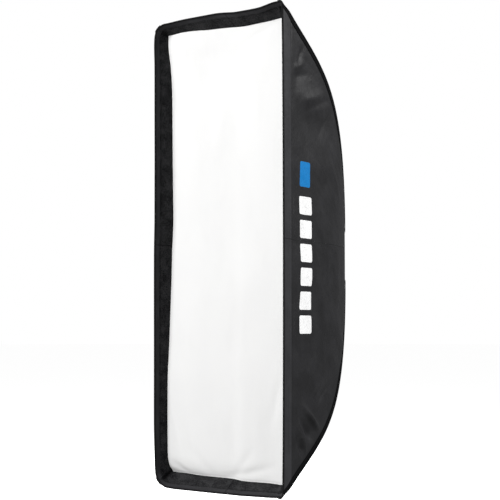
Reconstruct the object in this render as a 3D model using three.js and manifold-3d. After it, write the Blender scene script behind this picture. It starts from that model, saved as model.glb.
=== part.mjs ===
// Strip softbox: a tall narrow fabric shell held open by four bowed rods that plug
// into a rotating ring, with a bayonet insert that locks onto a studio light.
// Millimetres, +Z up. The light sits at +Y and the diffuser faces -Y. The origin is on
// the ring's axis, in the plane of the insert's seat against the light.
import * as THREE from "three";
import { mergeVertices } from "three/addons/utils/BufferGeometryUtils.js";
import Module from "manifold-3d";

const wasm = await Module();
wasm.setup();

// ---- Driving dimensions ----
const GAP = 0.3; // between pieces that touch or are sewn to each other

// Fabric shell. Depth is measured back from the front rim.
const FRONT_WIDTH = 304.8;
const FRONT_HEIGHT = 914.4;
const SHELL_DEPTH = 345;
const RING_TO_SHELL = 11; // from the ring to the shell's rear edge
const SHELL_END_TO_SEAT = 18; // from the shell's rear edge to the seat plane
const FRONT_SLOPE = 32.6; // degrees between the corner seam and the axis, at the rim
const REAR_SLOPE = 22; // degrees between the corner seam and the ring's plane
const FRONT_PULL = 0.37; // how far the seam keeps its front direction, over its chord
const REAR_PULL = 0.56; // and its rear direction
const SIDE_BOW = 9; // how far the seam bows sideways out of its flat plane
const WALL = 1; // shell fabric with its coating and seam allowances
const LINING = 0.6; // silver reflective lining
const MID_SEAM_Z = 15; // height of the seam across each side panel
const SHELL_ROWS = 12;

// Front rim, lip and diffusers
const HEM_DEPTH = 30; // outer band of the rim
const HEM_FOLD = 10; // depth of the hem's fold inside the rim
const HEM_THICKNESS = 1.2;
const RIM_WIDTH = 6; // across the folded front edge
const LIP_DEPTH = 50; // depth of the loop-tape lip
const LIP_FLARE = 0.416; // how far the side lips lean in from the wall, over their depth
const LIP_TO_WALL = 3.4; // from the top and bottom walls to the lip's deep edge
const TAPE = 1.2; // thickness of loop tape
const DIFFUSER_DEPTH = 28;
const DIFFUSER_BORDER = 14; // turned-back hook border
const DIFFUSER_THICKNESS = 1;
const BAFFLE_DEPTH = 150;
const BAFFLE_TO_SIDE = 35; // from its edges to the side walls
const BAFFLE_TO_END = 55; // and to the top and bottom walls
const BAFFLE_THICKNESS = 1;
const STRAP_WIDTH = 14;
const STRAP_THICKNESS = 1;
const STRAP_TO_END = 40; // from the baffle's top and bottom edges
const BINDING_WIDTH = 12; // tape sewn over each corner seam
const BINDING_THICKNESS = 1;

// Rods
const ROD_RADIUS = 2;
const ROD_TO_WALL = 7; // rod axis to the shell's outer faces, near the rim
const ROD_FRONT_DEPTH = 31;
const TIP_RADIUS = 3;
const TIP_LENGTH = 18;
const TIP_END = 3; // closed end of the tip
const POCKET_WALL = 1.2;
const POCKET_LENGTH = 30;
const FERRULE_RADIUS = 4;
const FERRULE_IN = 30; // length inside the socket
const FERRULE_OUT = 8; // length outside it
const FERRULE_END = 6; // closed end

// Speed ring
const RING_WALL = 9; // outside the insert's disc
const RING_BORE = 53;
const RING_BACK_Y = -6;
const RING_THICKNESS = 16;
const RING_LIP = 6; // front lip that holds the insert
const SOCKET_RADIUS = 7.5;
const SOCKET_END = 4; // closed end of each socket
const SOCKET_TO_WALL = 12; // socket mouths' distance in from the shell's rear edge
const SOCKET_MOUTH_TO_END = 7; // in front of the shell's rear edge
const SOCKET_ROOT = 4; // how far a socket's body runs on past its end into the ring

// Bayonet insert
const INSERT_RADIUS = 58;
const INSERT_BORE = 45;
const RUNNING_CLEARANCE = 0.5;
const COLLAR_RADIUS = 48.7;
const COLLAR_LENGTH = 16;
const LUG_RADIUS = 52.3;
const LUG_THICKNESS = 3.5;
const LUG_ARC = 40; // degrees
const LUGS = 3;
const SEAT_INNER = 51.5;
const SEAT_TO_EDGE = 3; // from the seat to the disc's edge
const SEAT_STEP = 1; // how far the seat stands above the face inside it

// Insert clips and their screws
const CLIPS = 3;
const CLIP_AZIMUTH = 0; // of the first, in degrees
const CLIP_WIDTH = 15;
const CLIP_THICKNESS = 2;
const CLIP_TO_RING = 1; // from the clip's outer end to the ring's edge
const SCREW_TO_RING = 4.7; // from the screw's axis to the ring's edge
const SCREW_RADIUS = 1.5;
const SCREW_LENGTH = 9;
const SCREW_HEAD_RADIUS = 2.9;
const SCREW_HEAD = 1.8;
const HEX_RADIUS = 1.3;

// Rotation lock, on the -X side
const LOCK_Y = -10.5;
const LOCK_SCREW_RADIUS = 3;
const SHOE_LENGTH = 5;
const KNOB_TO_SHELL = 7; // outside the shell's rear edge
const KNOB_RADIUS = 9.6;
const KNOB_LENGTH = 15;
const KNOB_LOBES = 8;
const KNOB_LOBE_HEIGHT = 0.8;

// Rear flaps
const FLAP_ROOT = 120; // width at the hinge
const FLAP_END = 92; // width at the free edge
const FLAP_LENGTH = 25;
const FLAP_THICKNESS = 1.2;
const FLAP_LEAN = 33; // degrees in from the ring's axis
const FLAP_SLOT_MARGIN = 2.2; // round the lock knob
const FLAP_WEB = 3.4; // fabric left beside the hinge, in front of the slot

const ROUND_SEGMENTS = 48;
const SMALL_SEGMENTS = 16;

// ---- Derived values ----
const SEAT_TO_RIM = SHELL_DEPTH + SHELL_END_TO_SEAT;
const RING_RADIUS = INSERT_RADIUS + RING_WALL;
const REAR_HALF = RING_RADIUS + RING_TO_SHELL; // half the side of the square rear opening
const SOCKET_SPREAD = REAR_HALF - SOCKET_TO_WALL; // from the X and Z planes
const SEAT_OUTER = INSERT_RADIUS - SEAT_TO_EDGE;
const CLIP_OUTER = RING_RADIUS - CLIP_TO_RING;
const CLIP_SCREW_AT = RING_RADIUS - SCREW_TO_RING;
const KNOB_FROM_AXIS = REAR_HALF + KNOB_TO_SHELL;
const SOCKET_MOUTH_DEPTH = SHELL_DEPTH - SOCKET_MOUTH_TO_END;
const RAD = Math.PI / 180;
const CUT = 1; // how far a cutting tool runs past the face it cuts

// ---- Materials ----
const paint = (color, roughness, metalness = 0) =>
  new THREE.MeshStandardMaterial({ color, roughness, metalness });
const MATERIALS = {
  shellFabric: paint(0x2e2e30, 0.55),
  loopTape: paint(0x161617, 0.95),
  binding: paint(0x0c0c0d, 0.85),
  silver: paint(0xc4c6c8, 0.35, 0.6),
  diffusion: paint(0xf5f5f3, 0.9),
  elastic: paint(0x1c1c1d, 0.9),
  springSteel: paint(0x8d9094, 0.35, 1),
  aluminium: paint(0xb5b7ba, 0.4, 1),
  blackMetal: paint(0x1b1c1e, 0.45, 0.6),
  screwSteel: paint(0x6f7275, 0.35, 1),
  knobPlastic: paint(0x141415, 0.6),
  nylon: paint(0xe4e2da, 0.6),
  rubber: paint(0x101011, 0.9),
};

// ---- Geometry helpers ----
const V = (x, y, z) => new THREE.Vector3(x, y, z);

// Turns an indexed geometry's faces round if they point inwards.
function facingOut(geometry) {
  const p = geometry.attributes.position;
  const index = geometry.index.array;
  const corner = (i) => new THREE.Vector3().fromBufferAttribute(p, index[i]);
  let volume = 0;
  for (let i = 0; i < index.length; i += 3) {
    volume += corner(i).dot(corner(i + 1).cross(corner(i + 2)));
  }
  if (volume < 0) {
    for (let i = 0; i < index.length; i += 3) {
      [index[i + 1], index[i + 2]] = [index[i + 2], index[i + 1]];
    }
  }
  geometry.computeVertexNormals();
  return geometry;
}

// A closed sheet between two grids of points, outer[row][column] and inner[row][column].
function slab(outer, inner) {
  const rows = outer.length;
  const columns = outer[0].length;
  const points = [...outer.flat(), ...inner.flat()];
  const at = (face, r, c) => face * rows * columns + r * columns + c;
  const index = [];
  const quad = (a, b, c, d) => index.push(a, b, c, a, c, d);
  for (let r = 0; r < rows - 1; r++) {
    for (let c = 0; c < columns - 1; c++) {
      quad(at(0, r, c), at(0, r, c + 1), at(0, r + 1, c + 1), at(0, r + 1, c));
      quad(at(1, r, c), at(1, r + 1, c), at(1, r + 1, c + 1), at(1, r, c + 1));
    }
  }
  for (let r = 0; r < rows - 1; r++) {
    const last = columns - 1;
    quad(at(1, r + 1, 0), at(1, r, 0), at(0, r, 0), at(0, r + 1, 0));
    quad(at(0, r, last), at(1, r, last), at(1, r + 1, last), at(0, r + 1, last));
  }
  for (let c = 0; c < columns - 1; c++) {
    const last = rows - 1;
    quad(at(0, 0, c), at(1, 0, c), at(1, 0, c + 1), at(0, 0, c + 1));
    quad(at(0, last, c + 1), at(1, last, c + 1), at(1, last, c), at(0, last, c));
  }
  const geometry = new THREE.BufferGeometry().setFromPoints(points);
  geometry.setIndex(index);
  return facingOut(geometry);
}

// A solid of revolution about +Y from a closed outline of [radius, y] pairs.
function turned(outline, segments = SMALL_SEGMENTS) {
  const points = outline.map(([r, y]) => new THREE.Vector2(r, y));
  points.push(points[0].clone());
  return welded(new THREE.LatheGeometry(points, segments));
}

// A geometry with its shared corners merged and its empty faces dropped.
function welded(geometry) {
  const bare = geometry.clone();
  bare.deleteAttribute("normal");
  bare.deleteAttribute("uv");
  const merged = mergeVertices(bare, 1e-3);
  const kept = [];
  const index = merged.index.array;
  for (let i = 0; i < index.length; i += 3) {
    const [a, b, c] = index.slice(i, i + 3);
    if (a !== b && b !== c && a !== c) kept.push(a, b, c);
  }
  merged.setIndex(kept);
  return facingOut(merged);
}

// A geometry, moved by a matrix where one is given, as a manifold-3d solid.
function solid(geometry, matrix = new THREE.Matrix4()) {
  const merged = welded(geometry.clone().applyMatrix4(matrix));
  return new wasm.Manifold(
    new wasm.Mesh({
      numProp: 3,
      vertProperties: merged.attributes.position.array,
      triVerts: new Uint32Array(merged.index.array),
    }),
  );
}

function geometryOf(manifold) {
  const mesh = manifold.getMesh();
  const geometry = new THREE.BufferGeometry().setAttribute(
    "position",
    new THREE.BufferAttribute(new Float32Array(mesh.vertProperties), 3),
  );
  geometry.setIndex(new THREE.BufferAttribute(new Uint32Array(mesh.triVerts), 1));
  return facingOut(geometry);
}

// A matrix that carries +Y onto a direction and the origin onto a point.
function placing(point, direction) {
  const turn = new THREE.Quaternion().setFromUnitVectors(V(0, 1, 0), direction);
  return new THREE.Matrix4().compose(point, turn, V(1, 1, 1));
}

function piece(group, name, geometry, material, matrix) {
  const mesh = new THREE.Mesh(geometry, material);
  mesh.name = name;
  if (matrix) mesh.applyMatrix4(matrix);
  group.add(mesh);
  return mesh;
}

// ---- The corner seam, upper right quarter: x, depth and z from the rim to the rear ----
function cornerSeam() {
  const rim = V(FRONT_WIDTH / 2, 0, FRONT_HEIGHT / 2);
  const rear = V(REAR_HALF, SHELL_DEPTH, REAR_HALF);
  const chord = rim.distanceTo(rear);
  const flatX = (z) => {
    const share = (z - rear.z) / (rim.z - rear.z);
    return rear.x + share * (rim.x - rear.x) + SIDE_BOW;
  };
  const frontPull = FRONT_PULL * chord;
  const rearPull = REAR_PULL * chord;
  const frontZ = rim.z - frontPull * Math.sin(FRONT_SLOPE * RAD);
  const rearZ = rear.z + rearPull * Math.cos(REAR_SLOPE * RAD);
  return new THREE.CubicBezierCurve3(
    rim,
    V(flatX(frontZ), frontPull * Math.cos(FRONT_SLOPE * RAD), frontZ),
    V(flatX(rearZ), rear.y - rearPull * Math.sin(REAR_SLOPE * RAD), rearZ),
    rear,
  );
}
const SEAM = cornerSeam();

// The seam's parameter at a depth, by halving.
function seamParameter(depth) {
  let low = 0;
  let high = 1;
  for (let i = 0; i < 40; i++) {
    const middle = (low + high) / 2;
    if (SEAM.getPoint(middle).y < depth) low = middle;
    else high = middle;
  }
  return (low + high) / 2;
}
const seamAtDepth = (depth) => SEAM.getPoint(seamParameter(depth));

// Outward normals of the side and top walls along the seam.
function wallNormals(t) {
  const along = SEAM.getTangent(t);
  return {
    along,
    side: V(along.y, -along.x, 0).normalize(),
    top: V(0, -along.z, along.y).normalize(),
  };
}

const evenly = (from, to, count) =>
  Array.from({ length: count + 1 }, (_, i) => from + ((to - from) * i) / count);

// Seam parameters where the hem, the panels, the lining and the bindings all have a row,
// so that their facets stay parallel.
const HEM_ROWS = [0, HEM_DEPTH / 2, HEM_DEPTH].map(seamParameter);
const LINED_ROWS = evenly(
  seamParameter(LIP_DEPTH + 2),
  seamParameter(SHELL_DEPTH - 2),
  SHELL_ROWS,
);
const PANEL_ROWS = [seamParameter(HEM_DEPTH + WALL), ...LINED_ROWS, 1];

// Point of the top wall at seam parameter t, moved out by "out", at a width x.
function topPoint(t, out, x, sz) {
  const p = SEAM.getPoint(t).addScaledVector(wallNormals(t).top, out);
  return V(x, p.y, sz * p.z);
}

// Point of the side wall at seam parameter t, moved out by "out", at a height z.
function sidePoint(t, out, sx, z) {
  const p = SEAM.getPoint(t).addScaledVector(wallNormals(t).side, out);
  return V(sx * p.x, p.y, z);
}

// ---- Shell panels and lining ----
function topPanel(rows, sz, outer, thickness, fromSeam) {
  const face = (out) =>
    rows.map((t) => {
      const half = SEAM.getPoint(t).x - fromSeam;
      return [-half, half].map((x) => topPoint(t, out, x, sz));
    });
  return slab(face(outer), face(outer - thickness));
}

function sidePanel(rows, sx, outer, thickness, lowZ, highZ) {
  const face = (out) =>
    rows.map((t) => [lowZ(t), highZ(t)].map((z) => sidePoint(t, out, sx, z)));
  return slab(face(outer), face(outer - thickness));
}

function addShell(group) {
  const rows = PANEL_ROWS;
  const seamZ = (t) => SEAM.getPoint(t).z;
  for (const [end, sz] of [["top", 1], ["bottom", -1]]) {
    const geometry = topPanel(rows, sz, 0, WALL, WALL + GAP);
    piece(group, `${end}_panel`, geometry, MATERIALS.shellFabric);
  }
  for (const [hand, sx] of [["right", 1], ["left", -1]]) {
    const upper = sidePanel(rows, sx, 0, WALL, () => MID_SEAM_Z + GAP / 2, seamZ);
    const lower = sidePanel(rows, sx, 0, WALL, (t) => -seamZ(t), () => MID_SEAM_Z - GAP / 2);
    piece(group, `${hand}_panel_upper`, upper, MATERIALS.shellFabric);
    piece(group, `${hand}_panel_lower`, lower, MATERIALS.shellFabric);
  }
}

function addLining(group) {
  const rows = LINED_ROWS;
  const outer = -(WALL + GAP);
  const fromSeam = WALL + 2 * GAP + LINING;
  for (const [end, sz] of [["top", 1], ["bottom", -1]]) {
    const geometry = topPanel(rows, sz, outer, LINING, fromSeam);
    piece(group, `lining_${end}`, geometry, MATERIALS.silver);
  }
  const edgeZ = (t) => SEAM.getPoint(t).z - (WALL + 2 * GAP) / wallNormals(t).top.z;
  for (const [hand, sx] of [["right", 1], ["left", -1]]) {
    const geometry = sidePanel(rows, sx, outer, LINING, (t) => -edgeZ(t), edgeZ);
    piece(group, `lining_${hand}`, geometry, MATERIALS.silver);
  }
}

// Tape folded over a corner seam, the same width on both walls.
function cornerBinding(sx, sz) {
  const rows = [...HEM_ROWS, ...PANEL_ROWS];
  const face = (out) =>
    rows.map((t) => {
      const p = SEAM.getPoint(t);
      const { along, side, top } = wallNormals(t);
      const leg = BINDING_WIDTH / Math.sqrt(1 - along.z * along.z);
      const onSide = p.clone().addScaledVector(side, out).add(V(0, 0, -leg));
      const corner = p.clone().addScaledVector(side, out).addScaledVector(top, out);
      const onTop = p.clone().addScaledVector(top, out).add(V(-BINDING_WIDTH, 0, 0));
      return [onSide, corner, onTop].map((q) => V(sx * q.x, q.y, sz * q.z));
    });
  return slab(face(GAP + BINDING_THICKNESS), face(GAP));
}

// ---- Front frame: nested rectangles [half width, depth, half height] ----
// One side of a mitred frame, its section running through nested rectangles.
function frameSide(side, outerPath, innerPath) {
  const ends = ([hx, depth, hz]) => {
    const x = hx - GAP;
    const z = hz - GAP;
    if (side === "top") return [V(-x, depth, hz), V(x, depth, hz)];
    if (side === "bottom") return [V(-x, depth, -hz), V(x, depth, -hz)];
    if (side === "right") return [V(hx, depth, -z), V(hx, depth, z)];
    return [V(-hx, depth, -z), V(-hx, depth, z)];
  };
  return slab(outerPath.map(ends), innerPath.map(ends));
}

const LIP_END = [
  seamAtDepth(LIP_DEPTH).x - LIP_FLARE * LIP_DEPTH,
  LIP_DEPTH,
  seamAtDepth(LIP_DEPTH).z - LIP_TO_WALL,
];

// The lip's room-facing rectangle at a depth, grown outwards by "out".
function lipAt(depth, out = 0) {
  const share = depth / LIP_DEPTH;
  const rimX = FRONT_WIDTH / 2 - RIM_WIDTH;
  const rimZ = FRONT_HEIGHT / 2 - RIM_WIDTH;
  const slopeZ = (rimZ - LIP_END[2]) / LIP_DEPTH;
  return [
    rimX + share * (LIP_END[0] - rimX) + out,
    depth,
    rimZ + share * (LIP_END[2] - rimZ) + out * Math.hypot(1, slopeZ),
  ];
}

// The shell's outer rectangle at a depth, taken in by "into" square to each wall.
function wallAt(depth, into = 0) {
  const t = seamParameter(depth);
  const p = SEAM.getPoint(t);
  const { side, top } = wallNormals(t);
  return [p.x - into / side.x, depth, p.z - into / top.z];
}

function addFront(group) {
  const halfRim = RIM_WIDTH - HEM_THICKNESS;
  const hemOuter = [
    wallAt(HEM_DEPTH),
    wallAt(HEM_DEPTH / 2),
    [FRONT_WIDTH / 2, 0, FRONT_HEIGHT / 2],
    lipAt(0),
    lipAt(HEM_FOLD),
  ];
  const hemInner = [
    wallAt(HEM_DEPTH, HEM_THICKNESS),
    wallAt(HEM_DEPTH / 2, HEM_THICKNESS),
    wallAt(HEM_THICKNESS, HEM_THICKNESS),
    [FRONT_WIDTH / 2 - halfRim, HEM_THICKNESS, FRONT_HEIGHT / 2 - halfRim],
    lipAt(HEM_FOLD, HEM_THICKNESS),
  ];
  const tapeFrom = HEM_FOLD + GAP;
  for (const side of ["top", "bottom", "left", "right"]) {
    const hem = frameSide(side, hemOuter, hemInner);
    piece(group, `front_hem_${side}`, hem, MATERIALS.shellFabric);
    const tape = frameSide(
      side,
      [lipAt(tapeFrom), lipAt(LIP_DEPTH)],
      [lipAt(tapeFrom, TAPE), lipAt(LIP_DEPTH, TAPE)],
    );
    piece(group, `lip_tape_${side}`, tape, MATERIALS.loopTape);
  }
}

// A straight-sided block through two rectangles [half width, depth, half height].
function frustum([ax, ay, az], [bx, by, bz]) {
  const face = (hx, depth, hz) => [
    [V(-hx, depth, -hz), V(hx, depth, -hz)],
    [V(-hx, depth, hz), V(hx, depth, hz)],
  ];
  return slab(face(ax, ay, az), face(bx, by, bz));
}

// Front diffuser: a sheet whose hook border turns back along the lip.
function diffuserGeometry() {
  const back = DIFFUSER_DEPTH + DIFFUSER_BORDER;
  const inside = -(GAP + DIFFUSER_THICKNESS);
  const block = solid(frustum(lipAt(DIFFUSER_DEPTH, -GAP), lipAt(back, -GAP)));
  const hollow = solid(
    frustum(lipAt(DIFFUSER_DEPTH + DIFFUSER_THICKNESS, inside), lipAt(back + CUT, inside)),
  );
  return geometryOf(block.subtract(hollow));
}

function addBaffle(group) {
  const wall = seamAtDepth(BAFFLE_DEPTH);
  const halfWidth = wall.x - BAFFLE_TO_SIDE;
  const halfHeight = wall.z - BAFFLE_TO_END;
  const sheet = new THREE.BoxGeometry(2 * halfWidth, BAFFLE_THICKNESS, 2 * halfHeight);
  piece(group, "inner_baffle", sheet, MATERIALS.diffusion).position.y = BAFFLE_DEPTH;
  const from = halfWidth + GAP;
  const wallX = wallAt(BAFFLE_DEPTH, WALL + LINING + 2 * GAP)[0];
  const to = wallX - STRAP_THICKNESS * Math.abs(wallNormals(seamParameter(BAFFLE_DEPTH)).side.y);
  for (const [hand, sx] of [["right", 1], ["left", -1]]) {
    for (const [end, sz] of [["upper", 1], ["lower", -1]]) {
      const strap = new THREE.BoxGeometry(to - from, STRAP_THICKNESS, STRAP_WIDTH);
      const mesh = piece(group, `baffle_strap_${end}_${hand}`, strap, MATERIALS.elastic);
      const height = sz * (halfHeight - STRAP_TO_END);
      mesh.position.set((sx * (from + to)) / 2, BAFFLE_DEPTH, height);
    }
  }
}

// ---- Rods ----
// A rod's way from its tip to its socket, then straight on into its ferrule.
class RodCurve extends THREE.Curve {
  constructor(bow, from, tail) {
    super();
    this.bow = bow;
    this.from = from;
    this.tail = tail;
    this.straight = tail / (tail + bow.getLength());
  }
  getPoint(t, target = new THREE.Vector3()) {
    const bent = 1 - this.straight;
    if (t <= bent) return this.bow.getPoint(this.from + (1 - this.from) * (t / bent), target);
    const end = this.bow.getPoint(1, target);
    return end.addScaledVector(this.bow.getTangent(1), (this.tail * (t - bent)) / this.straight);
  }
}

function rodBow(sx, sz) {
  const { side, top } = wallNormals(0);
  const inwards = V(0, 0, 0).addScaledVector(side, -ROD_TO_WALL).addScaledVector(top, -ROD_TO_WALL);
  const front = SEAM.v0.clone().add(inwards);
  const frontPull = SEAM.v1.clone().add(inwards);
  const mouth = V(SOCKET_SPREAD, SOCKET_MOUTH_DEPTH, SOCKET_SPREAD);
  const rearPull = mouth.clone().add(SEAM.v2).sub(SEAM.v3);
  const signed = (p) => V(sx * p.x, p.y, sz * p.z);
  return new THREE.CubicBezierCurve3(...[front, frontPull, rearPull, mouth].map(signed));
}

// The bow's parameter where the rod's tip end lies.
function rodStart(bow) {
  let low = 0;
  let high = 1;
  for (let i = 0; i < 40; i++) {
    const middle = (low + high) / 2;
    if (bow.getPoint(middle).y < ROD_FRONT_DEPTH) low = middle;
    else high = middle;
  }
  return (low + high) / 2;
}

function rodGeometry(curve) {
  const section = new THREE.Shape();
  section.absarc(0, 0, ROD_RADIUS, 0, 2 * Math.PI);
  return new THREE.ExtrudeGeometry(section, {
    steps: 26,
    curveSegments: 4,
    extrudePath: curve,
  });
}

// A cup along +Y: closed below y 0, open at its length, with a bore.
function cup(radius, bore, closedEnd, length) {
  return turned([
    [0, -closedEnd],
    [radius, -closedEnd],
    [radius, length],
    [bore, length],
    [bore, 0],
    [0, 0],
  ]);
}

function addRods(group) {
  for (const [end, sz] of [["upper", 1], ["lower", -1]]) {
    for (const [hand, sx] of [["right", 1], ["left", -1]]) {
      const where = `${end}_${hand}`;
      const bow = rodBow(sx, sz);
      const from = rodStart(bow);
      const tip = bow.getPoint(from);
      const back = bow.getTangent(from);
      const mouth = bow.getPoint(1);
      const inwards = bow.getTangent(1);
      const tail = FERRULE_IN - FERRULE_END - GAP;
      const curve = new RodCurve(bow, from, tail);
      piece(group, `rod_${where}`, rodGeometry(curve), MATERIALS.springSteel);

      const tipCup = cup(TIP_RADIUS, ROD_RADIUS + GAP, TIP_END, TIP_LENGTH - TIP_END);
      const tipAt = tip.clone().addScaledVector(back, -GAP);
      piece(group, `rod_tip_${where}`, tipCup, MATERIALS.rubber, placing(tipAt, back));

      const pocketBore = TIP_RADIUS + GAP;
      const pocket = cup(pocketBore + POCKET_WALL, pocketBore, POCKET_WALL, POCKET_LENGTH);
      const pocketAt = tipAt.clone().addScaledVector(back, -(TIP_END + GAP));
      piece(group, `corner_pocket_${where}`, pocket, MATERIALS.loopTape, placing(pocketAt, back));

      const length = FERRULE_IN + FERRULE_OUT - FERRULE_END;
      const ferrule = cup(FERRULE_RADIUS, ROD_RADIUS + GAP, FERRULE_END, length);
      const boreEnd = mouth.clone().addScaledVector(inwards, FERRULE_IN - FERRULE_END);
      const outwards = inwards.clone().negate();
      piece(group, `rod_ferrule_${where}`, ferrule, MATERIALS.aluminium, placing(boreEnd, outwards));
    }
  }
}

// ---- Speed ring ----
function rodSockets() {
  const body = [];
  const bores = [];
  for (const [sx, sz] of [[1, 1], [1, -1], [-1, 1], [-1, -1]]) {
    const bow = rodBow(sx, sz);
    const mouth = bow.getPoint(1).add(V(0, -SEAT_TO_RIM, 0));
    const outwards = bow.getTangent(1).negate();
    const full = FERRULE_IN + GAP + SOCKET_END + SOCKET_ROOT;
    const post = new THREE.CylinderGeometry(SOCKET_RADIUS, SOCKET_RADIUS, full, SMALL_SEGMENTS + 4);
    const middle = mouth.clone().addScaledVector(outwards, -full / 2);
    body.push(solid(post, placing(middle, outwards)));
    const boreRadius = FERRULE_RADIUS + GAP;
    const deep = FERRULE_IN + GAP + CUT;
    const bore = new THREE.CylinderGeometry(boreRadius, boreRadius, deep, SMALL_SEGMENTS);
    const boreMiddle = mouth.clone().addScaledVector(outwards, CUT - deep / 2);
    bores.push(solid(bore, placing(boreMiddle, outwards)));
  }
  return { body, bores };
}

const clipAzimuths = Array.from({ length: CLIPS }, (_, i) => CLIP_AZIMUTH + (360 / CLIPS) * i);
const radial = (degrees) => V(Math.cos(degrees * RAD), 0, Math.sin(degrees * RAD));

function speedRingGeometry() {
  const front = RING_BACK_Y - RING_THICKNESS;
  let ring = solid(
    turned(
      [
        [RING_BORE, front],
        [RING_RADIUS, front],
        [RING_RADIUS, RING_BACK_Y],
        [RING_BORE, RING_BACK_Y],
      ],
      ROUND_SEGMENTS,
    ),
  );
  const { body, bores } = rodSockets();
  for (const post of body) ring = ring.add(post);
  const recessRadius = INSERT_RADIUS + RUNNING_CLEARANCE;
  const recess = turned(
    [
      [0, front + RING_LIP],
      [recessRadius, front + RING_LIP],
      [recessRadius, RING_BACK_Y + CUT],
      [0, RING_BACK_Y + CUT],
    ],
    ROUND_SEGMENTS,
  );
  ring = ring.subtract(solid(recess));
  for (const bore of bores) ring = ring.subtract(bore);
  const holeRadius = SCREW_RADIUS + GAP;
  for (const azimuth of clipAzimuths) {
    const hole = new THREE.CylinderGeometry(holeRadius, holeRadius, SCREW_LENGTH, SMALL_SEGMENTS);
    const at = radial(azimuth).multiplyScalar(CLIP_SCREW_AT);
    at.y = RING_BACK_Y - SCREW_LENGTH / 2 + CUT;
    ring = ring.subtract(solid(hole, placing(at, V(0, 1, 0))));
  }
  const lockHole = LOCK_SCREW_RADIUS + GAP;
  const across = RING_RADIUS - INSERT_RADIUS + 2 * CUT;
  const cross = new THREE.CylinderGeometry(lockHole, lockHole, across, SMALL_SEGMENTS);
  const lockAt = V(-(RING_RADIUS + INSERT_RADIUS) / 2, LOCK_Y, 0);
  return geometryOf(ring.subtract(solid(cross, placing(lockAt, V(1, 0, 0)))));
}

// ---- Bayonet insert: disc, raised seat, collar and lugs ----
function insertGeometry() {
  const discFront = RING_BACK_Y - RING_THICKNESS + RING_LIP + GAP;
  const discBack = RING_BACK_Y - GAP;
  let insert = solid(
    turned(
      [
        [INSERT_BORE, discFront],
        [INSERT_RADIUS, discFront],
        [INSERT_RADIUS, discBack],
        [SEAT_OUTER, discBack],
        [SEAT_OUTER, 0],
        [SEAT_INNER, 0],
        [SEAT_INNER, -SEAT_STEP],
        [COLLAR_RADIUS, -SEAT_STEP],
        [COLLAR_RADIUS, COLLAR_LENGTH],
        [INSERT_BORE, COLLAR_LENGTH],
      ],
      ROUND_SEGMENTS,
    ),
  );
  const sector = new THREE.Shape();
  const half = (LUG_ARC / 2) * RAD;
  sector.absarc(0, 0, LUG_RADIUS, -half, half);
  sector.absarc(0, 0, COLLAR_RADIUS - CUT, half, -half, true);
  sector.closePath();
  const lug = new THREE.ExtrudeGeometry(sector, {
    depth: LUG_THICKNESS,
    bevelEnabled: false,
    curveSegments: 6,
  }).rotateX(-Math.PI / 2);
  for (let i = 0; i < LUGS; i++) {
    const turn = new THREE.Matrix4().makeRotationY((i * 2 * Math.PI) / LUGS);
    turn.setPosition(0, COLLAR_LENGTH - LUG_THICKNESS, 0);
    insert = insert.add(solid(lug, turn));
  }
  return geometryOf(insert);
}

// ---- Clips over the insert's edge, and their screws ----
function clipGeometry() {
  const inner = SEAT_OUTER + RUNNING_CLEARANCE;
  const length = CLIP_OUTER - inner;
  const plate = new THREE.BoxGeometry(length, CLIP_THICKNESS, CLIP_WIDTH);
  const holeRadius = SCREW_RADIUS + GAP;
  const hole = new THREE.CylinderGeometry(
    holeRadius,
    holeRadius,
    CLIP_THICKNESS + 2 * CUT,
    SMALL_SEGMENTS,
  );
  const middle = (inner + CLIP_OUTER) / 2;
  const at = new THREE.Matrix4().setPosition(CLIP_SCREW_AT - middle, 0, 0);
  return { geometry: geometryOf(solid(plate).subtract(solid(hole, at))), middle };
}

function screwGeometry() {
  const body = turned([
    [0, -SCREW_LENGTH + CUT + CLIP_THICKNESS],
    [SCREW_RADIUS, -SCREW_LENGTH + CUT + CLIP_THICKNESS],
    [SCREW_RADIUS, 0],
    [SCREW_HEAD_RADIUS, 0],
    [SCREW_HEAD_RADIUS, SCREW_HEAD * 0.6],
    [SCREW_HEAD_RADIUS * 0.75, SCREW_HEAD],
    [0, SCREW_HEAD],
  ]);
  const hex = new THREE.CylinderGeometry(HEX_RADIUS, HEX_RADIUS, SCREW_HEAD, 6);
  const at = new THREE.Matrix4().setPosition(0, SCREW_HEAD, 0);
  return geometryOf(solid(body).subtract(solid(hex, at)));
}

function addClips(group) {
  const { geometry, middle } = clipGeometry();
  const screw = screwGeometry();
  clipAzimuths.forEach((azimuth, i) => {
    const spoke = new THREE.Group();
    spoke.rotation.y = -azimuth * RAD;
    spoke.position.y = RING_BACK_Y + GAP;
    group.add(spoke);
    const clip = piece(spoke, `insert_clip_${i + 1}`, geometry, MATERIALS.blackMetal);
    clip.position.set(middle, CLIP_THICKNESS / 2, 0);
    const fastener = piece(spoke, `clip_screw_${i + 1}`, screw, MATERIALS.screwSteel);
    fastener.position.set(CLIP_SCREW_AT, CLIP_THICKNESS + GAP, 0);
  });
}

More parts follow.
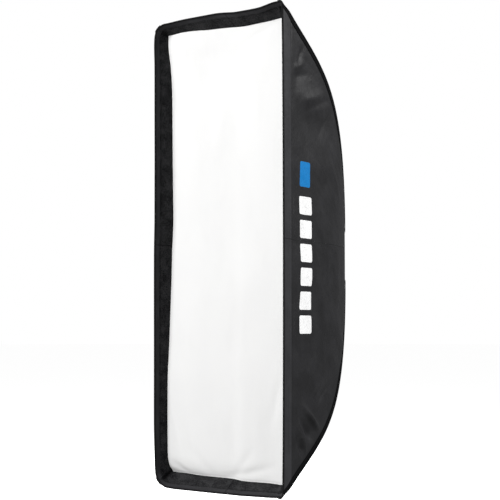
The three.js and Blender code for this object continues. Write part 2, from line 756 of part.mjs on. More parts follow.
// ---- Rotation lock: a nylon shoe, a threaded stud and a lobed knob, along -X ----
function addLock(group) {
  const lock = new THREE.Group();
  lock.position.set(0, LOCK_Y, 0);
  lock.rotation.z = Math.PI / 2; // local +Y points along the row's -X
  group.add(lock);
  const shoe = new THREE.CylinderGeometry(
    LOCK_SCREW_RADIUS - GAP,
    LOCK_SCREW_RADIUS - GAP,
    SHOE_LENGTH,
    SMALL_SEGMENTS,
  );
  const shoeFrom = INSERT_RADIUS + GAP;
  piece(lock, "brake_shoe", shoe, MATERIALS.nylon).position.y = shoeFrom + SHOE_LENGTH / 2;

  const studFrom = shoeFrom + SHOE_LENGTH + GAP;
  const studTo = KNOB_FROM_AXIS + KNOB_LENGTH * 0.7;
  const stud = turned([
    [0, studFrom],
    [LOCK_SCREW_RADIUS, studFrom],
    [LOCK_SCREW_RADIUS, studTo],
    [0, studTo],
  ]);
  piece(lock, "lock_screw", stud, MATERIALS.screwSteel);

  const outline = new THREE.Shape(
    evenly(0, 2 * Math.PI, KNOB_LOBES * 6)
      .slice(1)
      .map((a) => {
        const r = KNOB_RADIUS + KNOB_LOBE_HEIGHT * Math.cos(KNOB_LOBES * a);
        return new THREE.Vector2(r * Math.cos(a), r * Math.sin(a));
      }),
  );
  const body = new THREE.ExtrudeGeometry(outline, { depth: KNOB_LENGTH, bevelEnabled: false });
  body.rotateX(-Math.PI / 2);
  const boreRadius = LOCK_SCREW_RADIUS + GAP;
  const boreDepth = studTo - KNOB_FROM_AXIS + GAP;
  const bore = new THREE.CylinderGeometry(boreRadius, boreRadius, boreDepth + CUT, SMALL_SEGMENTS);
  const at = new THREE.Matrix4().setPosition(0, (boreDepth - CUT) / 2, 0);
  const knob = geometryOf(solid(body).subtract(solid(bore, at)));
  piece(lock, "lock_knob", knob, MATERIALS.knobPlastic).position.y = KNOB_FROM_AXIS;
}

// ---- Rear flaps, wrapped round the ring behind the shell's rear edge ----
// A flat flap in its own plane: width along X, length along Y from the hinge line.
function flapGeometry(slotHalf) {
  const root = FLAP_ROOT / 2;
  const end = FLAP_END / 2;
  const outline = new THREE.Shape();
  outline.moveTo(-root, 0);
  outline.lineTo(root, 0);
  outline.lineTo(end, FLAP_LENGTH);
  if (slotHalf > 0) {
    outline.lineTo(slotHalf, FLAP_LENGTH);
    outline.lineTo(slotHalf, FLAP_WEB);
    outline.lineTo(-slotHalf, FLAP_WEB);
    outline.lineTo(-slotHalf, FLAP_LENGTH);
  }
  outline.lineTo(-end, FLAP_LENGTH);
  outline.closePath();
  const settings = { depth: FLAP_THICKNESS, bevelEnabled: false };
  return new THREE.ExtrudeGeometry(outline, settings).translate(0, 0, -FLAP_THICKNESS);
}

function addFlaps(group) {
  const knobSlot = KNOB_RADIUS + KNOB_LOBE_HEIGHT + FLAP_SLOT_MARGIN;
  const flaps = [
    ["top", 0, 0],
    ["right", 90, 0],
    ["bottom", 180, 0],
    ["left", 270, knobSlot],
  ];
  for (const [side, degrees, slotHalf] of flaps) {
    const turn = new THREE.Group();
    turn.rotation.y = degrees * RAD;
    turn.position.y = -SHELL_END_TO_SEAT + 3 * GAP;
    group.add(turn);
    const flap = piece(turn, `rear_flap_${side}`, flapGeometry(slotHalf), MATERIALS.shellFabric);
    flap.position.z = REAR_HALF;
    flap.rotation.x = -FLAP_LEAN * RAD;
  }
}

// ---- Assembly ----
function assemble() {
  const softbox = new THREE.Group();
  const shell = new THREE.Group();
  shell.position.y = -SEAT_TO_RIM; // depth 0 is the rim
  softbox.add(shell);
  addShell(shell);
  addLining(shell);
  for (const [end, sz] of [["upper", 1], ["lower", -1]]) {
    for (const [hand, sx] of [["right", 1], ["left", -1]]) {
      piece(shell, `corner_binding_${end}_${hand}`, cornerBinding(sx, sz), MATERIALS.binding);
    }
  }
  addFront(shell);
  piece(shell, "front_diffuser", diffuserGeometry(), MATERIALS.diffusion);
  addBaffle(shell);
  addRods(shell);
  piece(softbox, "speed_ring", speedRingGeometry(), MATERIALS.blackMetal);
  piece(softbox, "bayonet_insert", insertGeometry(), MATERIALS.aluminium);
  addClips(softbox);
  addLock(softbox);
  addFlaps(softbox);
  return softbox;
}

export default assemble();
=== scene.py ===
"""Strip softbox: its cloth, tape and finishes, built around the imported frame.

Depth is measured back from the front rim. Every cloth shape is first worked out as
x, depth and height with square corners, then settled the way sewn cloth hangs near
the rim, and only then moved to the frame's own place.
"""

import bpy
import numpy as np
from bpy.props import (
    FloatProperty,
    FloatVectorProperty,
    IntProperty,
    PointerProperty,
)
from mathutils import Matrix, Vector


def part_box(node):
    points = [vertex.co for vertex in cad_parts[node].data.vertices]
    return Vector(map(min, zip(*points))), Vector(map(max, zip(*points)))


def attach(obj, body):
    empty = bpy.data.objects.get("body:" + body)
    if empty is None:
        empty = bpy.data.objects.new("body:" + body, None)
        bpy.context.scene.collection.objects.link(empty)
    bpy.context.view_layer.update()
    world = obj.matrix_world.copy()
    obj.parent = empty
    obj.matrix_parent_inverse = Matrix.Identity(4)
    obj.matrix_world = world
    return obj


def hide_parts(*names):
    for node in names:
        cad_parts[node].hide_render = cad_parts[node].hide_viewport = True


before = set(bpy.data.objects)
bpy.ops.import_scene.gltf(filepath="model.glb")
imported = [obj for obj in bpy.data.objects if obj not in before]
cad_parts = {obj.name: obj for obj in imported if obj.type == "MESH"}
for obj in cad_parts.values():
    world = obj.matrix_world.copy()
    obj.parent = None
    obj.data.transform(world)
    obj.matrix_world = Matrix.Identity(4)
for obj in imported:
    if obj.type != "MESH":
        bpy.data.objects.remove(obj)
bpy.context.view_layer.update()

bl_info = {
    "name": "Strip softbox",
    "version": (1, 0, 0),
    "blender": (4, 5, 0),
    "location": "3D View > Sidebar > Softbox",
    "description": "Builds the cloth, tape and finishes of a strip softbox",
    "category": "Object",
}

# ---- Places taken from the frame ----
RIM_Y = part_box("front_hem_top")[0].y
HINGE_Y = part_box("rear_flap_top")[0].y

# The corner seam's four guide points in the upper right quarter: x, depth, height.
SEAM_GUIDES = np.array(
    [
        (0.1524, 0.0, 0.4572),
        (0.14114, 0.16147, 0.35393),
        (0.13977, 0.23633, 0.34697),
        (0.078, 0.345, 0.078),
    ]
)
SHELL_DEPTH = 0.345
MID_SEAM_Z = 0.014
END_SEAM_X = 0.019
REAR_HALF = 0.078
ROD_TO_WALL = 0.007
ROD_START_DEPTH = 0.031
SOCKET_MOUTH = np.array((0.066, 0.338, 0.066))
LIP_FLARE = 0.0208
LIP_TO_WALL = 0.0034
MM = 0.001
CRISP_ANGLE = np.radians(50)

# Thicknesses of the thinner cloths, and and the gap between a wall and its lining.
HEM_THICKNESS = 0.0009
TAPE_THICKNESS = 0.0011
DIFFUSER_THICKNESS = 0.0007
LINING_THICKNESS = 0.0005
LINING_GAP = 0.0008

# Flat sizes of the sheets that run round the rim and across it.
DIFFUSER_HALF = (0.135, 0.432)

# A rear flap: half widths at the hinge and the free edge, length, lean, and the half
# width and start of the left one's slot.
FLAP_HINGE, FLAP_FREE, FLAP_LONG = 0.060, 0.046, 0.025
FLAP_LEAN = np.radians(33)
FLAP_SLOT, FLAP_SLOT_START, FLAP_SLOT_SHARE = 0.0126, 0.0034, 0.78

# Pitch of the thicker threads in the nylon, and a stitch's pitch and width.
RIPSTOP_PITCH = 0.005
STITCH_PITCH, STITCH_WIDTH = 0.0034, 0.00045

POCKET_RADIUS = 0.0045
SIDES = ("top", "bottom", "left", "right")

# How far each rim edge wanders from a straight line, in mm: place along it, outwards.
LEFT_WANDER = [
    (-440, -3.8), (-420, -1.8), (-400, -1.1), (-380, -0.2), (-340, 0.8), (-300, 1.1),
    (-240, 1.3), (-180, 1.7), (-120, 2.2), (-60, 2.6), (0, 2.9), (60, 1.9),
    (180, 2.3), (240, 2.8), (300, 3.3), (340, 3.5), (380, 3.9), (400, 4.8),
    (420, 5.3), (440, 3.6),
]
RIGHT_WANDER = [
    (-457, 0), (-380, 1.2), (-200, 2.2), (0, 2.6), (200, 2.2), (380, 1.2), (457, 0)
]
TOP_WANDER = [
    (-140, -1.5), (-120, -2), (-100, -0.8), (-80, 0), (0, 0), (20, -1.8), (40, -4.3),
    (60, -4.5), (80, -4.6), (100, -4.2), (120, -0.5), (130, 1.3), (152, 1.3),
]
BOTTOM_WANDER = [
    (-140, 0), (-130, 2.4), (-120, 3.5), (-100, 4.2), (0, 4.4), (60, 4.3), (80, 3.7),
    (100, 3), (120, 2.7), (152, 0.9),
]

# Depth of the diffuser's edge on each side of the lip, in mm: place along it, depth.
DIFFUSER_LEFT = [
    (-430, 34), (-420, 26), (-400, 22), (-240, 22), (-180, 25), (-120, 27), (-60, 29),
    (0, 30), (60, 32), (180, 30), (300, 29), (340, 28), (380, 25), (400, 22), (430, 21),
]
DIFFUSER_RIGHT = [(-430, 26), (-300, 27), (0, 30), (300, 30), (430, 31)]
DIFFUSER_TOP = [
    (-130, 28.5), (-100, 26.5), (-80, 27.7), (-60, 29.5), (-40, 31.5), (-20, 32),
    (0, 32.9), (20, 33.7), (40, 33.7), (60, 32.7), (80, 31.6), (100, 31.2), (130, 31.3),
]
DIFFUSER_BOTTOM = [
    (-130, 36.9), (-100, 36.9), (-80, 35.3), (-60, 34.1), (-20, 33.6), (0, 33.2),
    (20, 32.6), (40, 29.5), (100, 29), (120, 27.6), (130, 25.9),
]

# Creases in a side wall, in mm: depth and height at each end, how high it stands, width.
RIGHT_CREASES = [
    (90, 404, 58, 344, -2.8, 5), (104, 396, 76, 352, 1.0, 8), (40, 336, 84, 356, 3.2, 6),
    (47, 322, 106, 337, -2.8, 8), (94, 268, 204, 305, -2.6, 7), (80, 282, 184, 317, 2.6, 9),
    (198, 272, 135, 214, -1.2, 8), (216, 254, 160, 196, 0.8, 9),
    (66, -294, 144, -348, 6.4, 6.5), (58, -318, 122, -366, -5.2, 7),
    (50, -318, 94, -398, 6.0, 5.5), (46, -346, 80, -400, -5.4, 5.5),
    (186, -258, 126, -298, -3.0, 6), (160, -246, 104, -286, 2.4, 8),
    (140, -180, 70, -280, 1.2, 9), (257, 102, 205, 178, 1.4, 9), (230, 150, 180, 222, -1.2, 9),
]
LEFT_CREASES = [
    (62, 372, 120, 322, 3.8, 6), (56, 358, 112, 306, -3.4, 6), (150, 240, 88, 268, -2.6, 7),
    (58, -330, 120, -300, 3.4, 6), (70, -376, 104, -352, -3.0, 6), (210, -160, 150, -220, 1.5, 9),
]
# Round swellings, in mm: depth, height, reach along depth, reach along height, rise.
RIGHT_SWELLINGS = [
    (112, 288, 48, 23, 4.4), (88, 356, 60, 36, -3.8), (144, 250, 64, 26, -3.4),
    (190, -60, 90, 150, 2.4),
    (108, -348, 34, 26, -4.4),
]
LEFT_SWELLINGS = [(120, 290, 56, 30, 5.5), (180, 40, 90, 160, 2.6), (110, -300, 46, 34, 3.6)]

# Soft creases in the diffuser, in mm: across and height at each end, height, width.
DIFFUSER_CREASES = [
    (-126, -402, -92, -428, 1.0, 7), (-84, -372, -30, -424, 0.9, 9), (4, -426, 112, -402, 1.1, 8),
    (64, -372, 22, -424, 0.8, 8), (-130, -296, -106, -384, 0.9, 7), (-128, 334, -108, 246, 0.9, 7),
    (-124, 388, -92, 420, 0.8, 7), (36, 396, 116, 426, 0.7, 8), (126, -240, 104, -330, 0.7, 8),
]

SEEDS = {"right": 11, "left": 23, "top": 37, "bottom": 53, "diffuser": 71, "flap": 89}

# Soft lights: name, place, side length and power in watts.
LIGHTS = [
    ("front", (-1.3, -3.1, 1.4), 1.8, 119),
    ("side", (2.1, 1.1, 1.8), 0.6, 78),
    ("low", (2.6, 0.2, -0.9), 0.9, 21),
    ("rear", (-1.8, 2.6, 1.6), 1.6, 120),
]
SKY_STRENGTH = 0.25
FLOOR_GLOW = 0.76
FLOOR_REACH, FLOOR_LEVEL = 40.0, -0.75

CAMERA_PLACE = (1.3818, -2.1967, -0.144)
CAMERA_PAN, CAMERA_TILT = np.radians(35.4), np.radians(3.55)
CAMERA_LENS, CAMERA_SENSOR = 86.9, 36


# ---- Sums that shapes share ----
def smooth(value, low, high):
    """0 below low, 1 above high, and 3s squared less 2s cubed of the share s between."""
    s = np.clip((value - low) / (high - low), 0, 1)
    return s * s * (3 - 2 * s)


def through(pairs, spread=9):
    """A function through pairs in mm: straight lines, then averaged over a bell."""
    place, value = np.array(pairs, float).T
    fine = np.linspace(place[0] - 40, place[-1] + 40, 900)
    step = fine[1] - fine[0]
    reach = np.arange(-int(3 * spread / step), int(3 * spread / step) + 1) * step
    bell = np.exp(-((reach / spread) ** 2))
    padded = np.pad(np.interp(fine, place, value), len(reach) // 2, mode="edge")
    even = np.convolve(padded, bell / bell.sum(), mode="valid")
    return lambda metres: np.interp(metres / MM, fine, even) * MM


def cloth_noise(u, v, cell, seed):
    """Noise from -1 to 1: seeded numbers on a square lattice, blended by the S-curve."""
    lattice = np.random.default_rng(seed).uniform(-1, 1, (64, 64))
    a, b = u / cell + 17.3, v / cell + 31.7
    i, j = np.floor(a).astype(int), np.floor(b).astype(int)
    s, t = smooth(a - i, 0, 1), smooth(b - j, 0, 1)
    near = lattice[i % 64, j % 64] * (1 - s) + lattice[(i + 1) % 64, j % 64] * s
    far = lattice[i % 64, (j + 1) % 64] * (1 - s) + lattice[(i + 1) % 64, (j + 1) % 64] * s
    return near * (1 - t) + far * t


def creased(u, v, creases):
    """Sum of creases: height times a bell of the distance to the line, less at its ends."""
    total = np.zeros(np.broadcast(u, v).shape)
    for u0, v0, u1, v1, height, width in np.array(creases) * MM:
        along = np.array((u1 - u0, v1 - v0))
        share = ((u - u0) * along[0] + (v - v0) * along[1]) / (along @ along)
        on = np.clip(share, 0, 1)
        away = np.hypot(u - u0 - on * along[0], v - v0 - on * along[1])
        fading = 0.25 + 0.75 * np.sin(np.pi * on)
        total += height * fading * np.exp(-((away / width) ** 2))
    return total


def swollen(u, v, swellings):
    """Sum of swellings: rise times a bell of the distance, scaled by each reach."""
    total = np.zeros(np.broadcast(u, v).shape)
    for u0, v0, reach_u, reach_v, rise in np.array(swellings) * MM:
        total += rise * np.exp(-(((u - u0) / reach_u) ** 2) - ((v - v0) / reach_v) ** 2)
    return total


class Seam:
    """The corner seam: a cubic Bezier curve of the four guides, tabled by depth."""

    def __init__(self, guides):
        t = np.linspace(0, 1, 2401)[:, None]
        p0, p1, p2, p3 = guides
        self.t = t[:, 0]
        self.point = (
            (1 - t) ** 3 * p0
            + 3 * (1 - t) ** 2 * t * p1
            + 3 * (1 - t) * t**2 * p2
            + t**3 * p3
        )
        slope = 3 * (
            (1 - t) ** 2 * (p1 - p0) + 2 * (1 - t) * t * (p2 - p1) + t**2 * (p3 - p2)
        )
        self.along = slope / np.linalg.norm(slope, axis=1, keepdims=True)
        steps = np.linalg.norm(np.diff(self.point[:, 1:], axis=0), axis=1)
        self.end_length = np.concatenate([[0], np.cumsum(steps)])
        steps = np.linalg.norm(np.diff(self.point[:, :2], axis=0), axis=1)
        self.side_length = np.concatenate([[0], np.cumsum(steps)])

    def parameter(self, depth):
        return np.interp(depth, self.point[:, 1], self.t)

    def table(self, t, columns):
        return np.stack([np.interp(t, self.t, c) for c in columns.T], axis=-1)

    def at(self, t):
        return self.table(t, self.point)

    def half_size(self, depth):
        """Half width and half height of the shell's outer faces at a depth."""
        p = self.at(self.parameter(depth))
        return p[..., 0], p[..., 2]

    def normals(self, t):
        """Outward normals of the side and the end wall: square to the seam's tangent
        and to the direction in which the wall runs straight."""
        a = self.table(t, self.along)
        zero = np.zeros_like(a[..., 0])
        side = np.stack([a[..., 1], -a[..., 0], zero], axis=-1)
        end = np.stack([zero, -a[..., 2], a[..., 1]], axis=-1)
        return (
            side / np.linalg.norm(side, axis=-1, keepdims=True),
            end / np.linalg.norm(end, axis=-1, keepdims=True),
            a,
        )


SEAM = Seam(SEAM_GUIDES)
WANDER = {
    "left": through(LEFT_WANDER),
    "right": through(RIGHT_WANDER, 30),
    "top": through(TOP_WANDER, 7),
    "bottom": through(BOTTOM_WANDER, 7),
}


def settled(points, sizes):
    """Where sewn cloth lies near the rim. Each edge first moves outwards by its wander,
    fading with depth. Then each corner is rounded: inside the corner's square, a point
    on the square ring of size m moves to the circle of radius m."""
    x, depth, z = points[..., 0], points[..., 1], points[..., 2]
    near = 1 - smooth(depth, 0.004, 0.062)
    at_side = smooth(np.abs(x), 0.05, 0.14) * near
    at_end = smooth(np.abs(z), 0.32, 0.44) * near
    out_x = np.where(x < 0, WANDER["left"](z), WANDER["right"](z)) * at_side
    out_z = np.where(z > 0, WANDER["top"](x), WANDER["bottom"](x)) * at_end
    half_x, half_z = SEAM.half_size(np.clip(depth, 0, SHELL_DEPTH))
    ahead = 1 - smooth(depth, 0.004, 0.029)
    radius = np.where(x < 0, sizes.corner_radius_left, sizes.corner_radius_right) * ahead
    radius = np.maximum(radius, 1e-6)
    a = (np.abs(x) - half_x + radius) / radius
    b = (np.abs(z) - half_z + radius) / radius
    inside = (a > 0) & (b > 0)
    a1, b1 = np.where(inside, a, 1), np.where(inside, b, 0)
    scale = np.maximum(a1, b1) / np.hypot(a1, b1)
    round_x = np.where(inside, half_x - radius + a1 * scale * radius, np.abs(x))
    round_z = np.where(inside, half_z - radius + b1 * scale * radius, np.abs(z))
    return np.stack(
        [np.sign(x) * (round_x + out_x), depth, np.sign(z) * (round_z + out_z)], axis=-1
    )


# ---- Meshes from grids of points ----
def grid_cells(rows, columns, wrap_rows=False, wrap_columns=False):
    """Row and column of the four corners of every cell of a grid. On a wrapped side
    the last cell's far corners keep their unwrapped number, so that a map runs on."""
    r, c = np.meshgrid(
        np.arange(rows if wrap_rows else rows - 1),
        np.arange(columns if wrap_columns else columns - 1),
        indexing="ij",
    )
    return r.reshape(-1, 1) + [0, 1, 1, 0], c.reshape(-1, 1) + [0, 0, 1, 1]


def volume_sign(points, quads):
    """Sign of the volume that the faces enclose: a sum of corner triple products."""
    a, b, c, d = (points[quads[:, k]] for k in range(4))
    return np.sign((a * np.cross(b, c)).sum() + (a * np.cross(c, d)).sum())


def new_piece(name, points, quads, corner_uv):
    """A mesh object in the frame's place from points in x, depth and height. Faces
    point outwards, and edges sharper than the crisp angle stay sharp."""
    world = points + (0, RIM_Y, 0)
    if volume_sign(world - world.mean(axis=0), quads) < 0:
        quads, corner_uv = quads[:, ::-1], corner_uv[:, ::-1]
    mesh = bpy.data.meshes.new(name)
    mesh.vertices.add(len(world))
    mesh.vertices.foreach_set("co", world.astype(np.float32).ravel())
    mesh.loops.add(quads.size)
    mesh.loops.foreach_set("vertex_index", quads.astype(np.int32).ravel())
    mesh.polygons.add(len(quads))
    mesh.polygons.foreach_set("loop_start", np.arange(0, quads.size, 4, dtype=np.int32))
    mesh.update(calc_edges=True)
    layer = mesh.uv_layers.new(name="Cloth")
    layer.data.foreach_set("uv", corner_uv.astype(np.float32).ravel())
    mesh.polygons.foreach_set("use_smooth", np.ones(len(quads), bool))
    mesh.set_sharp_from_angle(angle=CRISP_ANGLE)
    if mesh.validate():
        raise RuntimeError(f"{name} has a face that is not valid")
    piece = bpy.data.objects.new(name, mesh)
    bpy.context.scene.collection.objects.link(piece)
    return piece


def closed_sheet(name, outer, inner, u, v, keep=None):
    """A closed sheet between two grids of points. Where keep is given, only its cells
    are made. Every edge that only one cell uses gets a wall from outer to inner."""
    rows, columns = outer.shape[:2]
    r, c = grid_cells(rows, columns)
    if keep is not None:
        r, c = r[keep.ravel()], c[keep.ravel()]
    face = r * columns + c
    count = rows * columns
    ahead = np.stack([face, np.roll(face, -1, axis=1)], axis=-1).reshape(-1, 2)
    key, back = ahead[:, 0] * count + ahead[:, 1], ahead[:, 1] * count + ahead[:, 0]
    rim = ahead[~np.isin(key, back)]
    walls = np.stack([rim[:, 1], rim[:, 0], rim[:, 0] + count, rim[:, 1] + count], axis=1)
    quads = np.concatenate([face, face[:, ::-1] + count, walls])
    uv = np.stack([u, v], axis=-1).reshape(-1, 2)
    corner_uv = np.concatenate([uv, uv])[quads]
    used, quads = np.unique(quads, return_inverse=True)
    points = np.concatenate([outer.reshape(-1, 3), inner.reshape(-1, 3)])[used]
    return new_piece(name, points, quads.reshape(-1, 4), corner_uv)


def closed_loop(name, points, u, v):
    """A closed ring: rows run round it and columns run round its section. The map's u
    and v have one more entry than the rows and columns."""
    rows, columns = points.shape[:2]
    r, c = grid_cells(rows, columns, True, True)
    quads = (r % rows) * columns + c % columns
    return new_piece(name, points.reshape(-1, 3), quads, np.stack([u[r], v[c]], -1))


def shade_and_seam_mark(piece, values):
    """Keeps a share from 0 to 1 at each vertex, which the piece's finish reads: painted shade on
    folds and edges, and dark seams.
    """
    kept = piece.data.attributes.new("shade_and_seam_mark", "FLOAT", "POINT")
    kept.data.foreach_set("value", np.clip(values, 0, 1).astype(np.float32).ravel())


def rim_seams(points):
    """1 on the seams that cross the rim, from a bell of the distance to each."""
    x, z = points[..., 0], points[..., 2]
    at_end = np.abs(z) > 0.40
    on_end = np.exp(-(((x - END_SEAM_X) / 0.0011) ** 2)) * at_end
    return on_end + np.exp(-(((z - MID_SEAM_Z) / 0.0011) ** 2)) * ~at_end


def grid_normals(points):
    """Unit normals of a grid: the cross product of its two differences."""
    n = np.cross(np.gradient(points, axis=0), np.gradient(points, axis=1))
    return n / np.maximum(np.linalg.norm(n, axis=-1, keepdims=True), 1e-12)


def grid_area(points):
    """Area of a grid of points: the sum of its cells' half cross products."""
    across = points[1:, 1:] - points[:-1, :-1]
    other = points[1:, :-1] - points[:-1, 1:]
    return float(np.linalg.norm(np.cross(across, other), axis=-1).sum() / 2)


def dress(piece, body, slot, finish, *nodes):
    """Gives a piece its body and finish, and hides the frame's solids it stands for. The slot is
    not used.
    """
    piece.data.materials.append(finish)
    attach(piece, body)
    if nodes:
        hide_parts(*nodes)


# ---- Shader sums ----
class Value:
    """A socket in a material's nodes. Arithmetic on it adds Math nodes."""

    def __init__(self, shade, socket):
        self.shade, self.socket = shade, socket

    def __add__(self, other):
        return self.shade.math("ADD", self, other)

    def __sub__(self, other):
        return self.shade.math("SUBTRACT", self, other)

    def __rsub__(self, other):
        return self.shade.math("SUBTRACT", other, self)

    def __mul__(self, other):
        return self.shade.math("MULTIPLY", self, other)

    def __truediv__(self, other):
        return self.shade.math("DIVIDE", self, other)

    __radd__ = __add__


class Shade:
    """A material whose nodes are written as sums."""

    def __init__(self, name, colour, roughness, **constants):
        self.material = bpy.data.materials.new(name)
        self.material.use_nodes = True
        self.tree = self.material.node_tree
        self.tree.nodes.clear()
        self.shader = self.tree.nodes.new("ShaderNodeBsdfPrincipled")
        out = self.tree.nodes.new("ShaderNodeOutputMaterial")
        self.tree.links.new(self.shader.outputs[0], out.inputs[0])
        self.material.diffuse_color = (*colour, 1)
        self.set("Base Color", (*colour, 1))
        self.set("Roughness", roughness)
        for socket, value in constants.items():
            self.set(socket.replace("_", " "), value)

    def set(self, socket, value):
        """Sets or links one of the shader's own sockets."""
        self._feed(self.shader.inputs[socket], value)

    def _feed(self, socket, value):
        if isinstance(value, Value):
            self.tree.links.new(value.socket, socket)
        else:
            socket.default_value = value

    def node(self, kind, settings=(), inputs=(), output=0):
        """Any node: its settings first, then the values or links of its sockets."""
        made = self.tree.nodes.new(kind)
        for name, value in dict(settings).items():
            setattr(made, name, value)
        for name, value in dict(inputs).items():
            self._feed(made.inputs[name], value)
        return Value(self, made.outputs[output])

    def math(self, operation, *values):
        return self.node("ShaderNodeMath", {"operation": operation}, enumerate(values))

    def mix(self, share, a, b):
        """Colour a turning into colour b as share goes from 0 to 1."""
        inputs = {0: share, 6: a, 7: b}
        return self.node("ShaderNodeMix", {"data_type": "RGBA"}, inputs, 2)

    def ease(self, value, low, high):
        """The S-curve of a value between low and high."""
        settings = {"interpolation_type": "SMOOTHSTEP"}
        inputs = {"Value": value, "From Min": low, "From Max": high}
        return self.node("ShaderNodeMapRange", settings, inputs)

    def split(self, vector):
        made = self.tree.nodes.new("ShaderNodeSeparateXYZ")
        self.tree.links.new(vector.socket, made.inputs[0])
        return [Value(self, o) for o in made.outputs]

    def place(self):
        return self.node("ShaderNodeTexCoord", output="Object")

    def cloth(self):
        """The piece's own map: u along the cloth and v across it, in metres."""
        return self.node("ShaderNodeUVMap", {"uv_map": "Cloth"})

    def noise(self, vector, scale, detail=2.0, roughness=0.5):
        inputs = {"Vector": vector, "Scale": scale, "Detail": detail, "Roughness": roughness}
        return self.node("ShaderNodeTexNoise", {}, inputs)

    def stretched(self, vector, scales):
        settings = {"operation": "MULTIPLY"}
        return self.node("ShaderNodeVectorMath", settings, enumerate((vector, scales)))

    def marked(self):
        """The share from 0 to 1 kept at each vertex: painted shade on folds and edges, and dark
        seams.
        """
        return self.node("ShaderNodeAttribute", {"attribute_name": "shade_and_seam_mark"}, output="Fac")

    def waves(self, value, pitch):
        """A sine of a value with that pitch, from -1 to 1."""
        return self.math("SINE", value * (2 * np.pi / pitch))

    def weave(self, u, v, pitch):
        """A plain weave: the product of the waves along and across the cloth."""
        return self.waves(u, pitch) * self.waves(v, pitch)

    def off_middle(self, value, pitch):
        """Distance from the middle of the pitch that a value is in: 0 to one half."""
        return self.math("ABSOLUTE", self.math("FRACT", value / pitch) - 0.5)

    def bump(self, height, distance, before=None, strength=1.0):
        inputs = {"Height": height, "Distance": distance, "Strength": strength}
        if before is not None:
            inputs["Normal"] = before
        return self.node("ShaderNodeBump", {}, inputs)

    def stitches(self, u, v, at):
        """A row of stitches along u at v = at: a narrow line, broken once each pitch."""
        off = self.math("ABSOLUTE", v - at)
        line = 1 - self.ease(off, STITCH_WIDTH * 0.6, STITCH_WIDTH)
        return line * (1 - self.ease(self.off_middle(u, STITCH_PITCH), 0.34, 0.42))

    def bar(self, place_y, place_z, centre, half, corner):
        """A rounded bar: 1 inside, from the distance to a box with rounded corners."""
        y = self.math("ABSOLUTE", place_y - centre[0]) - (half[0] - corner)
        z = self.math("ABSOLUTE", place_z - centre[1]) - (half[1] - corner)
        out = self.math(
            "SQRT",
            self.math("POWER", self.math("MAXIMUM", y, 0.0), 2.0)
            + self.math("POWER", self.math("MAXIMUM", z, 0.0), 2.0),
        )
        within = self.math("MINIMUM", self.math("MAXIMUM", y, z), 0.0)
        return 1 - self.ease(out + within - corner, -0.0002, 0.0002)


def tinted(colour, factor, lift=0.0):
    """A colour times a factor plus a lift, no brighter than 1, with full alpha."""
    return (*(min(1, c * factor + lift) for c in colour), 1)


def coated_nylon(name, colour, printed=None, streaks=0.0):
    """Coated nylon: fine plain weave with thicker threads every 5 mm, soft mottling of
    gloss, and small dents. A printed wall has plain bars in ink over the weave."""
    s = Shade(name, colour, 0.5, Specular_IOR_Level=0.17)
    uv, place = s.cloth(), s.place()
    u, v, _ = s.split(uv)
    weave = s.weave(u, v, 0.0007)
    thick, thick_across = (s.ease(s.off_middle(w, RIPSTOP_PITCH), 0.44, 0.49) for w in (u, v))
    thick = thick + thick_across
    mottle = s.noise(place, 22.0, 4.0, 0.55)
    dents = s.noise(place, 85.0, 3.0, 0.55)
    dark, light = tinted(colour, 0.8), tinted(colour, 1.22)
    shade = s.mix(s.ease(mottle, 0.32, 0.68), dark, light)
    rough = 0.47 + mottle * 0.14
    hem_shade_and_seam_mark = None
    if streaks:
        hem_shade_and_seam_mark = s.marked()
        runs = s.noise(s.stretched(uv, (14.0, 260.0, 1.0)), 1.0, 3.0)
        shade = s.mix(s.ease(runs, 0.35, 0.7) * streaks, shade, light)
        # Painted shade: marked places go near black, for the shade on the hem's front fold and at
        # its back edge. At the seams the dark is the seams' own.
        shade = s.mix(hem_shade_and_seam_mark * 0.85, shade, (0.003, 0.003, 0.0035, 1))
        rough = rough + runs * 0.08 + hem_shade_and_seam_mark * 0.2
    relief = s.bump(weave * 0.5 + thick * 0.6, 0.00004)
    relief = s.bump(dents, 0.001, relief, 0.8)
    relief = s.bump(mottle, 0.003, relief, 0.7)
    if hem_shade_and_seam_mark is not None:
        relief = s.bump(1 - hem_shade_and_seam_mark, 0.0006, relief)
    if printed:
        _, y, z = s.split(place)
        blue, white = printed(s, y, z)
        worn = s.ease(s.noise(place, 900.0, 2.0), 0.28, 0.4)
        settings = bpy.context.scene.softbox
        shade = s.mix(blue * worn, shade, (*settings.bar_blue, 1))
        shade = s.mix(white * worn, shade, (*settings.bar_white, 1))
        rough = rough + (blue + white) * 0.12
    s.set("Base Color", shade)
    s.set("Roughness", rough)
    s.set("Normal", relief)
    return s


def print_bars(s, y, z):
    """One blue bar, then a row of equal white bars below it, all with round corners."""
    settings = bpy.context.scene.softbox
    blue = s.bar(y, z, (RIM_Y + 0.084, 0.141), (0.018, 0.024), 0.004)
    pitch = settings.bar_pitch
    first = MID_SEAM_Z + pitch * settings.bars_above
    last = MID_SEAM_Z - pitch * settings.bars_below
    within = s.math("PINGPONG", z - MID_SEAM_Z, pitch / 2)
    white = s.bar(y, within, (RIM_Y + 0.086, pitch / 2), (0.0215, pitch * 0.38), 0.004)
    return blue, white * s.math("LESS_THAN", z, first) * s.math("GREATER_THAN", z, last)


